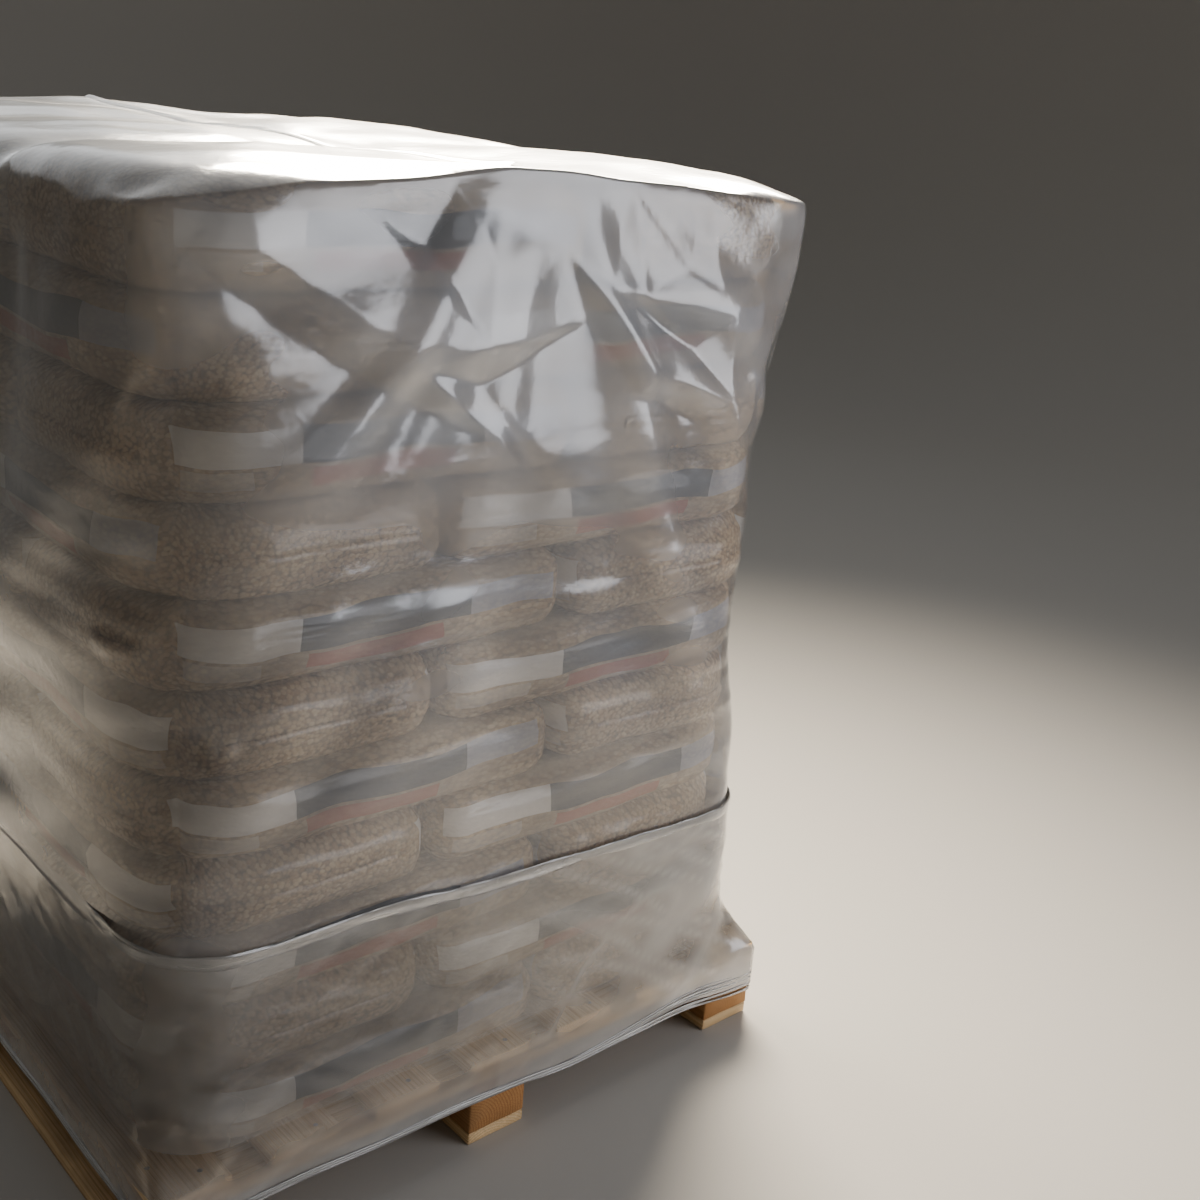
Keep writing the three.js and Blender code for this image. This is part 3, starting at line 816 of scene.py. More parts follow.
def clear_film(name, colour, roughness, gloss):
    """Thin clear film: mostly see-through, with a milky scatter and a sharp sheen.

    The milk attribute says how much of the light is scattered. The fine crinkles are 14 mm apart.
    """
    material, tree, output = new_material(name)
    amount = add_node(tree, "Attribute", attribute_name="milk").outputs["Fac"]
    place = add_node(tree, "TexCoord").outputs["Object"]
    crinkle = add_node(tree, "TexNoise", {"Vector": place, "Scale": 70.0, "Detail": 1.0})
    bump = add_node(tree, "Bump", {"Height": crinkle.outputs["Fac"], "Strength": 0.3,
                                   "Distance": 1.2 * MM}).outputs["Normal"]
    clear = add_node(tree, "BsdfTransparent", {"Color": (0.97, 0.97, 0.97, 1)})
    front = add_node(tree, "BsdfDiffuse", {"Color": (*colour, 1)})
    through = add_node(tree, "BsdfTranslucent", {"Color": (*colour, 1)})
    # Of the light that is scattered, two fifths go on through the film
    milk = add_node(tree, "MixShader", {0: 0.4, 1: front.outputs[0], 2: through.outputs[0]})
    body = add_node(tree, "MixShader", {0: amount, 1: clear.outputs[0], 2: milk.outputs[0]})
    edge = add_node(tree, "Fresnel", {"IOR": 1.5, "Normal": bump})
    sheen = add_node(tree, "Math", {0: edge.outputs[0], 1: gloss}, operation="MULTIPLY", use_clamp=True)
    shine = add_node(tree, "BsdfAnisotropic", {"Color": (1, 1, 1, 1), "Roughness": roughness,
                                               "Normal": bump})
    film = add_node(tree, "MixShader", {0: sheen.outputs[0], 1: body.outputs[0], 2: shine.outputs[0]})
    tree.links.new(film.outputs[0], output.inputs["Surface"])
    return material


# The skin of the load that film can touch: the faces less than this far inside its sides and top
SKIN_DEPTH = 0.1
TOP_SKIN_DEPTH = 0.08


def skin_of_load(keep):
    """The outer faces of all the sacks as one mesh, thinned to this share of its faces."""
    parts = []
    for piece in bpy.data.objects:
        if piece.name.startswith("pellet_sack_"):
            places = vertex_places(piece.data)
            faces = np.array([face.vertices[:] for face in piece.data.polygons])
            middle = places[faces].mean(axis=1)
            shows = ((np.abs(middle[:, 0]) > LOAD_HALF_X - SKIN_DEPTH)
                     | (np.abs(middle[:, 1]) > LOAD_HALF_Y - SKIN_DEPTH)
                     | (middle[:, 2] > LOAD_TOP - TOP_SKIN_DEPTH))
            parts.append((places, faces[shows]))
    verts, faces = join_parts(parts)
    skin = mesh_piece("load_skin", verts, faces)
    if keep < 1:
        skin.modifiers.new("coarse", "DECIMATE").ratio = keep
        apply_modifiers(skin)
    return skin


def bag_cells(settings):
    """How many cells the bag has from left to right and from front to back."""
    return (2 * round(LOAD_HALF_X / settings.step), 2 * round(LOAD_HALF_Y / settings.step))


def bag_ring(settings):
    """Where the columns stand round a square from -1 to 1, from its front left corner."""
    across, deep = bag_cells(settings)
    xs = np.linspace(-1, 1, across + 1)
    ys = np.linspace(-1, 1, deep + 1)
    return np.array([(x, -1) for x in xs[:-1]] + [(1, y) for y in ys[:-1]]
                    + [(x, 1) for x in xs[:0:-1]] + [(-1, y) for y in ys[:0:-1]])


def round_section(square, half, radius):
    """Points of a square from -1 to 1, as a level section of these half sizes and corners."""
    signs = np.sign(square)
    plan = np.abs(square) * half
    inner = np.array(half) - radius
    corner = (plan > inner).all(axis=1)
    plan[corner] = inner + to_disc((plan[corner] - inner) / radius) * radius
    return signs * plan


# Between these heights the bag's corners have their loose radius, and here their top radius
LOOSE_SPAN = (0.52, 1.05)
TOP_CORNER = 1.24


def bag_shape(settings, heights, slack):
    """The bag's vertices, with this much spare film round its top.

    Rows of the sides come first, from the foot up, and then the inside of the top.
    """
    verts = []
    for height in heights:
        # The bag stands off the load a little more at its top, where it is loosest
        off = settings.clearance + 4 * MM * ease(1.0, 1.25, height)
        half = np.array([LOAD_HALF_X + off, LOAD_HALF_Y + off])
        # Its corners are rounder where the wrap holds it and at its top than in between
        radius = np.interp(height, (settings.held_below, *LOOSE_SPAN, TOP_CORNER),
                           (settings.foot_radius, settings.loose_radius, settings.loose_radius,
                            settings.top_radius))
        spare = 1 + slack * ease(settings.held_below, 0.95, height)
        section = round_section(bag_ring(settings), half, radius) * spare
        verts.append(np.column_stack([section, np.full(len(section), height)]))
    across, deep = bag_cells(settings)
    inside = np.array([(x, y) for x in np.linspace(-1, 1, across + 1)[1:-1]
                       for y in np.linspace(-1, 1, deep + 1)[1:-1]])
    section = round_section(inside, half, radius) * spare
    verts.append(np.column_stack([section, np.full(len(section), heights[-1])]))
    return np.concatenate(verts)


def bag_faces(settings, rows):
    """The faces of the bag: its sides, and its top as a grid that ends at the last row."""
    across, deep = bag_cells(settings)
    columns = 2 * (across + deep)
    rim = (rows - 1) * columns

    def number(i, j):
        if j == 0:
            return rim + i
        if i == across:
            return rim + across + j
        if j == deep:
            return rim + across + deep + across - i
        if i == 0:
            return rim + 2 * across + deep + deep - j
        return rim + columns + (i - 1) * (deep - 1) + j - 1

    top = [(number(i, j), number(i + 1, j), number(i + 1, j + 1), number(i, j + 1))
           for i in range(across) for j in range(deep)]
    return ring_faces(columns, rows) + top


# The bag's top seam is held at its ends, at two places this far to each side of the middle
SEAM_HALF_GAP = 0.05


def drape_hood(settings, obstacle, heights, faces):
    """Lets the bag fall onto the load. Its foot is held, and so are the ends of its top seam."""
    cut = bag_shape(settings, heights, settings.slack)
    start = bag_shape(settings, heights, 0.0)
    free = cut[:, 2] > settings.held_below + 0.5 * settings.step
    # It starts uneven, so that it falls into uneven folds
    for size, scale in ((8 * MM, (5, 5, 4)), (2 * MM, (20, 20, 9))):
        shake = np.stack([noise(cut * scale + axis * 17, 8 + axis) for axis in range(3)], axis=1)
        start[free] += shake[free] * size
    piece = mesh_piece("falling_film", start, faces)
    piece.shape_key_add(name="Basis")
    rest = piece.shape_key_add(name="cut")
    rest.data.foreach_set("co", cut.ravel())
    group = piece.vertex_groups.new(name="held")
    held = list(np.nonzero(~free)[0])
    columns = len(bag_ring(settings))
    rim = (len(heights) - 1) * columns
    for x, y in itertools.product((-SEAM_HALF_GAP, SEAM_HALF_GAP), (-LOAD_HALF_Y, LOAD_HALF_Y)):
        away = np.linalg.norm(start[rim:rim + columns, :2] - (x, y), axis=1)
        held.append(rim + int(np.argmin(away)))
    group.add([int(number) for number in held], 1.0, "REPLACE")
    cloth = piece.modifiers.new("film", "CLOTH")
    set_values(cloth.settings, quality=6, mass=0.15, tension_stiffness=60, compression_stiffness=60,
               shear_stiffness=30, bending_stiffness=1.0, tension_damping=20,
               compression_damping=20, shear_damping=20, bending_damping=1.0, air_damping=2.0,
               vertex_group_mass=group.name, pin_stiffness=5, rest_shape_key=rest,
               use_pressure=True, uniform_pressure_force=-0.05)
    set_values(cloth.collision_settings, collision_quality=2, distance_min=1.5 * MM, friction=8,
               use_self_collision=False)
    obstacle.modifiers.new("load", "COLLISION")
    set_values(obstacle.collision, thickness_outer=2.5 * MM, thickness_inner=20 * MM,
               cloth_friction=8, damping=0.5)
    places = run_cloth(piece, 45)
    bpy.data.objects.remove(piece)
    return places


def face_pairs(faces):
    """Pairs of quads that share an edge."""
    count = len(faces)
    edges = np.stack([faces, np.roll(faces, -1, axis=1)], axis=2).reshape(-1, 2)
    edges.sort(axis=1)
    owner = np.repeat(np.arange(count), 4)
    key = edges[:, 0].astype(np.int64) * (edges.max() + 1) + edges[:, 1]
    order = np.argsort(key, kind="stable")
    same = key[order][1:] == key[order][:-1]
    return owner[order][:-1][same], owner[order][1:][same]


def sharpen_creases(places, faces, rounds=8, moves=12, spread=0.35):
    """Makes soft folds into flat areas with sharp creases, as stiff film has.

    Each face's direction is averaged with those neighbours that nearly agree with it, and
    then the vertices move until the faces lie in those directions.
    """
    faces = np.asarray(faces)
    left, right = face_pairs(faces)
    corners = places[faces]
    facing = np.cross(corners[:, 2] - corners[:, 0], corners[:, 3] - corners[:, 1])
    facing /= np.maximum(np.linalg.norm(facing, axis=1), 1e-12)[:, None]
    for _ in range(rounds):
        total = facing.copy()
        weight = np.exp(-((facing[left] - facing[right]) ** 2).sum(axis=1) / (2 * spread ** 2))
        for axis in range(3):
            total[:, axis] += np.bincount(left, weight * facing[right, axis], len(faces))
            total[:, axis] += np.bincount(right, weight * facing[left, axis], len(faces))
        facing = total / np.linalg.norm(total, axis=1)[:, None]
    count = np.bincount(faces.ravel(), minlength=len(places))
    for _ in range(moves):
        middle = places[faces].mean(axis=1)
        shift = np.zeros_like(places)
        for corner in range(4):
            offset = ((middle - places[faces[:, corner]]) * facing).sum(axis=1)
            for axis in range(3):
                shift[:, axis] += np.bincount(faces[:, corner], offset * facing[:, axis], len(places))
        places = places + shift / np.maximum(count, 1)[:, None]
    return places


def keep_clear(places, obstacle, gap, reach=40 * MM):
    """Moves points that lie inside the obstacle, or nearer to it than gap, out of it."""
    graph = bpy.context.evaluated_depsgraph_get()
    tree = BVHTree.FromObject(obstacle, graph)
    moved = places.copy()
    for number, place in enumerate(places):
        nearest, normal, _, _ = tree.find_nearest(Vector(place), reach)
        if nearest is not None:
            height = (Vector(place) - nearest).dot(normal)
            if height < gap:
                moved[number] = place + np.array(normal) * (gap - height)
    return moved


def lift_over(places, faces, points, gap):
    """Moves the film outward wherever one of these points would stick through it."""
    tree = BVHTree.FromPolygons(places.tolist(), faces)
    moved = places.copy()
    lifted = np.zeros(len(places))
    for point in points:
        nearest, normal, number, _ = tree.find_nearest(Vector(point), 20 * MM)
        if nearest is None:
            continue
        beyond = (Vector(point) - nearest).dot(normal) + gap
        for vert in faces[number]:
            if beyond > lifted[vert]:
                lifted[vert] = beyond
                moved[vert] = places[vert] + np.array(normal) * beyond
    return moved


# The folds that hang from the ends of the bag's top seam, as points on the front of the hood:
# x, height, and how far the film stands out there in millimetres. Creases join pairs of points.
FOLD_POINTS = {
    "seam_left": (-0.066, 1.235, 8), "seam_right": (0.015, 1.235, 6),
    "ridge_top": (-0.240, 1.245, 6), "apex": (-0.095, 1.100, 36), "apex_side": (-0.082, 1.190, 24),
    "hollow": (-0.165, 1.205, 2), "under_apex": (-0.092, 1.055, 5),
    "shelf_end": (-0.440, 1.206, 3), "shelf": (-0.368, 1.205, 18), "pocket": (-0.372, 1.250, 5),
    "tip": (-0.210, 1.112, 32), "low_tip": (-0.180, 1.080, 26), "under_tip": (-0.235, 1.065, 4),
    "under_shelf": (-0.340, 1.130, 4), "band_top": (-0.467, 1.190, 6), "band": (-0.350, 1.060, 8),
    "fall_top": (0.020, 1.205, 9), "fall": (0.155, 1.060, 28), "fall_edge": (0.128, 1.100, 22),
    "under_fall": (0.130, 1.030, 3), "beside_fall": (0.060, 1.120, 3),
    "far_top": (0.090, 1.160, 8), "far_tip": (0.317, 1.005, 20), "under_far": (0.260, 0.985, 2),
    "over_far": (0.240, 1.075, 5), "beak_root": (0.145, 1.150, 22), "beak": (0.295, 1.120, 24),
    "over_beak": (0.220, 1.180, 4), "post_top": (0.255, 1.255, 6), "post": (0.277, 1.150, 18),
    "ear_fold": (0.395, 1.190, 10), "over_ear": (0.340, 1.240, 3), "under_ear": (0.400, 1.100, 2),
    "sag_left": (-0.060, 0.985, 8), "sag_tip": (0.080, 0.900, 10), "beside_sag": (0.010, 0.930, 1),
}
FOLD_CREASES = (
    ("ridge_top", "apex"), ("seam_left", "apex_side"), ("apex_side", "apex"), ("hollow", "apex"),
    ("shelf_end", "shelf"), ("pocket", "shelf"), ("shelf", "tip"), ("tip", "low_tip"),
    ("ridge_top", "tip"), ("under_shelf", "under_tip"), ("band_top", "band"),
    ("fall_top", "fall"), ("fall", "fall_edge"), ("far_top", "far_tip"), ("beak_root", "beak"),
    ("post_top", "post"), ("post", "beak"), ("post", "ear_fold"), ("under_apex", "sag_tip"),
)
# The folds run out at these heights, and at this distance to each side
FOLD_FOOT = 0.84
FOLD_HEAD = 1.275
FOLD_HALF_WIDTH = 0.5
# How strong they are at the front and at the back
FOLD_DEPTHS = ((-1, 0.8), (1, 0.5))
# How far the film also stands off the load there, like a tent
TENT = 9 * MM
# The film's mesh is finer above this height, at the front and the back
FINE_ABOVE = 0.96
# The film hangs free above the first height and is drawn tight below the second
DRAWN_AT_ENDS = (1.06, 0.86)
DRAWN_AT_SIDES = (1.16, 1.0)
# Height of the level creases in the film that is drawn tight
LEVEL_CREASE = 2.4 * MM


def fold_relief(across, height):
    """How far the film stands out at each point: flat between the creases, sharp at them."""
    names = list(FOLD_POINTS)
    points = [Vector(FOLD_POINTS[name][:2]) for name in names]
    rises = [FOLD_POINTS[name][2] * MM for name in names]
    side = (-FOLD_HALF_WIDTH, FOLD_HALF_WIDTH)
    rim = [(x, z) for x in np.linspace(*side, 9) for z in (FOLD_FOOT, FOLD_HEAD)]
    rim += [(x, z) for z in np.linspace(FOLD_FOOT, FOLD_HEAD, 5)[1:-1] for x in side]
    points += [Vector(place) for place in rim]
    rises += [0.0] * len(rim)
    edges = [(names.index(first), names.index(second)) for first, second in FOLD_CREASES]
    found = delaunay_2d_cdt(points, edges, [], 0, 1e-5)
    corners = [(vert, np.mean([rises[origin] for origin in origins]) if origins else None)
               for vert, origins in zip(found[0], found[3])]
    relief = np.zeros(len(across))
    for face in found[2]:
        (a, rise_a), (b, rise_b), (c, rise_c) = (corners[number] for number in face)
        area = (b - a).cross(c - a)
        first = ((b.x - across) * (c.y - height) - (b.y - height) * (c.x - across)) / area
        second = ((c.x - across) * (a.y - height) - (c.y - height) * (a.x - across)) / area
        third = 1 - first - second
        inside = (first >= 0) & (second >= 0) & (third >= 0)
        relief[inside] = (first * rise_a + second * rise_b + third * rise_c)[inside]
    return relief


def smooth_places(places, edges, rounds, share=0.5, where=1.0):
    """Moves each point towards the middle of its neighbours."""
    count = np.bincount(edges.ravel(), minlength=len(places))
    for _ in range(rounds):
        middle = np.stack([np.bincount(edges[:, 0], column[edges[:, 1]], len(places))
                           + np.bincount(edges[:, 1], column[edges[:, 0]], len(places))
                           for column in places.T], axis=1) / np.maximum(count, 1)[:, None]
        places = places + (middle - places) * share * np.reshape(where, (-1, 1))
    return places


def distance_to(obstacle, places, reach):
    """How far each point stands off the obstacle, at most reach."""
    tree = BVHTree.FromObject(obstacle, bpy.context.evaluated_depsgraph_get())
    found = [tree.find_nearest(Vector(place), reach)[3] for place in places]
    return np.array([reach if away is None else away for away in found])


def film_milk(places, haze, loose_haze, stand_off, seed):
    """How milky the film is at each point: little where it clings, more where it stands off."""
    streaks = noise(places * np.array([3, 3, 24]), seed) + noise(places * 2.5, seed + 2)
    return np.clip((haze + loose_haze * ease(4 * MM, 44 * MM, stand_off)) * (1 + 0.18 * streaks), 0, 1)


def lay_bag(settings, obstacle):
    """The bag on the load: its draped part, and the part below that the wrap holds close."""
    foot = settings.held_below - 3 * settings.step
    rows = round((settings.bag_top - foot) / settings.step)
    heights = np.linspace(foot, settings.bag_top, rows + 1)
    draped = drape_hood(settings, obstacle, heights, bag_faces(settings, len(heights)))
    rows_below = round((foot - settings.bottom) / settings.step)
    below = np.linspace(settings.bottom, foot, rows_below + 1)[:-1]
    lower = bag_shape(settings, below, 0.0)[:len(below) * len(bag_ring(settings))]
    faces = bag_faces(settings, len(heights) + len(below))
    hood = mesh_piece("hood_film", np.concatenate([lower, draped]), faces)
    hood.modifiers.new("finer", "SUBSURF").levels = 1
    apply_modifiers(hood)
    return hood


def draw_tight(settings, verts, edges):
    """Below its top the film is drawn nearly flat, and takes the sacks' level creases."""
    height = verts[:, 2]
    at_side = ease(0.47, 0.48, np.abs(verts[:, 0]))
    drawn = np.maximum(ease(*DRAWN_AT_ENDS, height), ease(*DRAWN_AT_SIDES, height) * at_side)
    drawn = drawn * ease(settings.held_below, 0.5, height)
    verts = smooth_places(verts, edges, 45, 0.5, drawn)
    outward = (verts * np.array([1, 1, 0]) / np.array([LOAD_HALF_X, LOAD_HALF_Y, 1])) ** 7
    outward /= np.maximum(np.linalg.norm(outward, axis=1), 1e-9)[:, None]
    level = noise(verts * np.array([4, 4, 34]), 51) + 0.5 * noise(verts * np.array([7, 7, 70]), 52)
    crease = LEVEL_CREASE * (1 - 0.6 * ease(0.46, 0.48, np.abs(verts[:, 0])))
    return verts + outward * (drawn * level * crease)[:, None]


def refine_upper_ends(mesh):
    """Cuts the cells in four at the upper front and back, where the folds need a finer mesh."""
    cut = bmesh.new()
    cut.from_mesh(mesh)
    upper = [edge for edge in cut.edges
             if all(vert.co.z > FINE_ABOVE and abs(vert.co.y) > LOAD_HALF_Y - 20 * MM
                    for vert in edge.verts)]
    bmesh.ops.subdivide_edges(cut, edges=upper, cuts=1, use_grid_fill=True)
    cut.to_mesh(mesh)
    cut.free()


def hang_folds(verts):
    """Pulls the upper front and back out into folds. Returns the places, and how far they moved."""
    height = verts[:, 2]
    relief = np.zeros(len(verts))
    for sign, depth in FOLD_DEPTHS:
        near = ease(LOAD_HALF_Y - 0.06, LOAD_HALF_Y - 0.005, verts[:, 1] * sign)
        across = -sign * verts[:, 0]
        tent = (ease(FOLD_HEAD, 1.04, height) * ease(FOLD_FOOT, 1.0, height)
                * ease(0.49, 0.38, np.abs(across)))
        part = near * (depth * fold_relief(across, height) + TENT * tent)
        verts[:, 1] += sign * part
        relief += part
    return verts, relief


def add_hood(settings):
    """The hood: a welded film bag draped over the load, with its folds."""
    coarse = skin_of_load(0.12)
    hood = lay_bag(settings, coarse)
    mesh = hood.data
    faces = [face.vertices[:] for face in mesh.polygons]
    verts = sharpen_creases(vertex_places(mesh), faces)
    move_vertices(hood, draw_tight(settings, verts, edge_ends(mesh)))
    refine_upper_ends(mesh)
    verts, relief = hang_folds(vertex_places(mesh))
    edges = edge_ends(mesh)
    verts = smooth_places(verts, edges, 1, 0.5, relief > 0.5 * MM)
    # The film lies over the sacks everywhere, and over each point of them
    fine = skin_of_load(1)
    verts = keep_clear(verts, fine, 2.5 * MM)
    faces = [face.vertices[:] for face in mesh.polygons]
    verts = lift_over(verts, faces, vertex_places(fine.data), 1.5 * MM)
    move_vertices(hood, verts)
    stand_off = distance_to(fine, verts, 60 * MM)
    stand_off = smooth_places(stand_off[:, None], edges, 60, 1.0)[:, 0]
    milk = film_milk(verts, settings.haze, settings.loose_haze, stand_off, 31)
    mesh.attributes.new("milk", "FLOAT", "POINT").data.foreach_set("value", milk)
    for used in (coarse, fine):
        bpy.data.objects.remove(used)
    mesh.polygons.foreach_set("use_smooth", [True] * len(mesh.polygons))
    film = clear_film("blown_polyethylene_hood_film", settings.film_colour, 0.18, 1.9)
    mesh.materials.append(film)
    settle(hood, "hood_film", "hood")
    seam = add_top_seam(BVHTree.FromObject(hood, bpy.context.evaluated_depsgraph_get()), film)


# The bag's top seam runs from front to back here, over the crown, as a strip this wide
SEAM_X = -45 * MM
SEAM_WIDTH = 13 * MM
SEAM_HALF_LENGTH = LOAD_HALF_Y - 8 * MM
ABOVE_CROWN = 1.30


def add_top_seam(skin, film):
    """The weld across the bag's top: two layers in a narrow strip that leans over to one side."""
    rows = []
    steps = 120
    for y in np.linspace(-SEAM_HALF_LENGTH, SEAM_HALF_LENGTH, steps):
        wave = noise(np.array([[y * 22, 0.3, 0.7], [y * 60, 4.3, 0.7]]), 6)
        root = Vector((SEAM_X + wave[0] * 1.5 * MM, y, ABOVE_CROWN))
        surface = skin.find_nearest(root)[0]
        for share, rise in ((0.0, 0.4), (0.35, 3.0), (0.7, 4.2), (1.0, 3.2 + 2 * wave[1])):
            at = surface + Vector((share * SEAM_WIDTH, 0, 0))
            on, facing, _, _ = skin.find_nearest(at)
            rows.append(on + facing * rise * MM)
    seam = mesh_piece("hood_top_seam", [tuple(place) for place in rows], strip_faces(steps, 4), film,
                      {"milk": np.full(len(rows), 0.45)})
    settle(seam, "hood_film")
    return seam


# How far the wrap stands off the hood, and the corner radius at which it holds the hood
WRAP_GAP = 3.5 * MM
HOLD_RADIUS = 0.1
# The wrap as a flat strip, and the height of its film on the front
WRAP_HEIGHT = 0.335
# Heights of its upper and lower edge: in the middle, how far they fall to the side, and their sway
WRAP_TOP = (0.400, 0.024, 0.010)
WRAP_BOTTOM = (0.073, 0.012, 0.013)


def ring_noise(turns, level, scale, seed):
    """Noise that closes on itself round the load."""
    angle = turns * 2 * math.pi
    points = np.column_stack([np.cos(angle) * scale, np.sin(angle) * scale, level * np.ones(len(turns))])
    return noise(points, seed)


def wrap_top(place, turns):
    """Height of the stretch film's upper edge: it falls to the right, and wavers."""
    middle, fall, sway = WRAP_TOP
    return middle - fall * place[:, 0] / LOAD_HALF_X + sway * ring_noise(turns, 0, 2.5, 4)


def wrap_bottom(place, turns):
    """Height of its lower edge, on the side of the pallet."""
    middle, fall, sway = WRAP_BOTTOM
    return middle - fall * place[:, 0] / LOAD_HALF_X + sway * ring_noise(turns, 1, 3, 9)


def wrap_reach(turns, height, clearance):
    """Where the film lies: round the pallet's square edge, then in to the round sacks."""
    edge = 1.5 * MM
    square = rounded_outline(PALLET_HALF_X + edge, PALLET_HALF_Y + edge, 4 * MM, turns)
    off = clearance + WRAP_GAP
    snug = rounded_outline(LOAD_HALF_X + off, LOAD_HALF_Y + off, HOLD_RADIUS + WRAP_GAP, turns)
    share = ease(DECK_TOP - 10 * MM, DECK_TOP + 90 * MM, height)[:, None] ** 0.6
    return square * (1 - share) + snug * share


def wrap_ring(turns, height, clearance, stand):
    """A ring of the film, standing off its own line by this much."""
    ring = wrap_reach(turns, height, clearance)
    outward = ring / np.linalg.norm(ring, axis=1)[:, None]
    return np.column_stack([ring + outward * np.reshape(stand, (-1, 1)), height])


def pulled_folds(along, height):
    """Folds of stretched film, 0 to 1: they lean both ways and gather at the load's corners."""
    folds = np.zeros(len(along))
    for lean, seed, spacing, strength in ((0.55, 1, 14, 1.0), (-0.45, 2, 16, 1.0), (0.12, 3, 30, 0.4)):
        points = np.column_stack([(along * math.cos(lean) + height * math.sin(lean)) * 2.4,
                                  (height * math.cos(lean) - along * math.sin(lean)) * spacing,
                                  np.full(len(along), seed * 7.0)])
        folds = np.maximum(folds, strength * creases(points, seed))
    return folds


def add_stretch_wrap(settings, clearance):
    """The stretch film round the foot of the load and the top half of the pallet."""
    perimeter = 4 * (LOAD_HALF_X + LOAD_HALF_Y)
    columns = round(perimeter / settings.step)
    rows = round(WRAP_HEIGHT / settings.step)
    turns = np.arange(columns) / columns
    snug = rounded_outline(LOAD_HALF_X, LOAD_HALF_Y, HOLD_RADIUS, turns)
    low = wrap_bottom(snug, turns)
    high = wrap_top(snug, turns)
    corner = ease(0.09, 0.0, np.abs(np.mod(turns * 4, 1.0) - 0.5) * 0.5)
    rings = []
    folds = []
    for row in range(rows + 1):
        height = low + (high - low) * row / rows
        fold = pulled_folds(turns * perimeter, height)
        folds.append(fold)
        stand = fold * settings.fold_height * (0.8 + 1.2 * corner)
        rings.append(wrap_ring(turns, height, clearance, stand))
    verts = np.concatenate(rings)
    creased = np.concatenate(folds)
    band = ease(-60 * MM, -10 * MM, verts[:, 2] - np.tile(high, rows + 1))
    foot = ease(85 * MM, 5 * MM, verts[:, 2] - np.tile(low, rows + 1))
    # Towards its right-hand end the film lies in more layers
    layers = ease(-0.1, 0.45, verts[:, 0]) * ease(-0.3, -0.5, verts[:, 1])
    milk = film_milk(verts, settings.haze, 0.0, np.zeros(len(verts)), 41)
    milk = milk + (0.14 + 0.32 * layers) * creased + 0.08 * band + 0.38 * foot + 0.08 * layers
    piece = mesh_piece("stretch_wrap_film", verts, ring_faces(columns, rows + 1),
                       clear_film("cast_stretch_film", settings.film_colour, 0.16, 1.7),
                       {"milk": np.clip(milk, 0, 0.9)})
    settle(piece, "wrap_film", "stretch_wrap")


def gathered_edge(settings, clearance, turns, snug, gathered):
    """The wrap's upper edge: a flat tube of crumpled film, with pleats that run along it."""
    sides = 18
    rings = []
    milk = []
    height_share = 1 + 0.35 * ring_noise(turns, 5, 7, 17)
    for side in range(sides):
        angle = 2 * math.pi * side / sides
        lift = math.cos(angle) * settings.band_height / 2 * height_share
        height = wrap_top(snug, turns) - 0.3 * settings.band_height + lift
        height = height + ring_noise(turns, side * 0.35, 12, 12) * 2.5 * MM
        pleat = ring_noise(turns, side * 1.7, 5, 13) + 0.5 * ring_noise(turns, side * 2.9, 24, 14)
        stand = (1.2 + (1.4 + 1.2 * pleat) * math.sin(angle)) * MM
        rings.append(wrap_ring(turns, height, clearance, stand))
        milk.append(np.clip(0.26 + 0.2 * pleat, 0.06, 0.7))
    faces = ring_faces(len(turns), sides, closed_rows=True)
    band = mesh_piece("wrap_upper_edge", np.concatenate(rings), turned_over(faces), gathered,
                      {"milk": np.concatenate(milk)})
    settle(band, "wrap_film")
    return band


def lower_strands(settings, clearance, turns, snug, gathered):
    """The wrap's lower edge: gathered strands that part and meet again on their way round."""
    rng = np.random.default_rng(21)
    parts = []
    sides = 6
    # They spread most at the front right corner
    corner = ease(0.10, 0.01, np.abs(turns - 0.12))
    for number in range(settings.strand_count):
        share = number / max(1, settings.strand_count - 1) - 0.4
        spread = (8 + 30 * corner) * MM
        height = wrap_bottom(snug, turns) + share * spread
        height = height + ring_noise(turns, number * 5, 3, 15) * 4 * MM
        thick = rng.uniform(0.9, 1.6) * MM
        wide = rng.uniform(2.5, 5.5) * MM * (1 + 0.4 * ring_noise(turns, number * 3, 9, 16))
        rope = []
        for side in range(sides):
            angle = 2 * math.pi * side / sides
            rope.append(wrap_ring(turns, height + math.cos(angle) * wide / 2, clearance,
                                  (1.6 + number % 3 * 0.8) * MM + math.sin(angle) * thick))
        faces = turned_over(ring_faces(len(turns), sides, closed_rows=True))
        parts.append((np.concatenate(rope), faces))
    verts, faces = join_parts(parts)
    strands = mesh_piece("wrap_lower_strands", verts, faces, gathered,
                         {"milk": np.full(len(verts), 0.5)})
    settle(strands, "wrap_film")
    return strands


def add_wrap_edges(settings, clearance):
    """The wrap's gathered upper edge, and the strands along its lower one."""
    gathered = clear_film("gathered_stretch_film", settings.film_colour, 0.2, 2.2)
    columns = 640
    turns = np.arange(columns) / columns
    snug = rounded_outline(LOAD_HALF_X, LOAD_HALF_Y, HOLD_RADIUS, turns)
    band = gathered_edge(settings, clearance, turns, snug, gathered)
    strands = lower_strands(settings, clearance, turns, snug, gathered)


# Stage

# The floor is flat out to its radius, and then curves up into a quarter round wall
FLOOR_RADIUS = 4.5
WALL_RADIUS = 2.5
# Each light: its place, the point it faces, its sides, the angle it spreads to and its colour
KEY_LIGHT = ((2.1, 1.9, 2.9), (-0.1, -0.2, 0.85), (2.4, 1.5), 75, "FFF4E2")
FRONT_LIGHT = ((1.95, -3.25, 1.35), (0, -0.55, 1.05), (2.5, 2.5), 110, "F6F8FF")
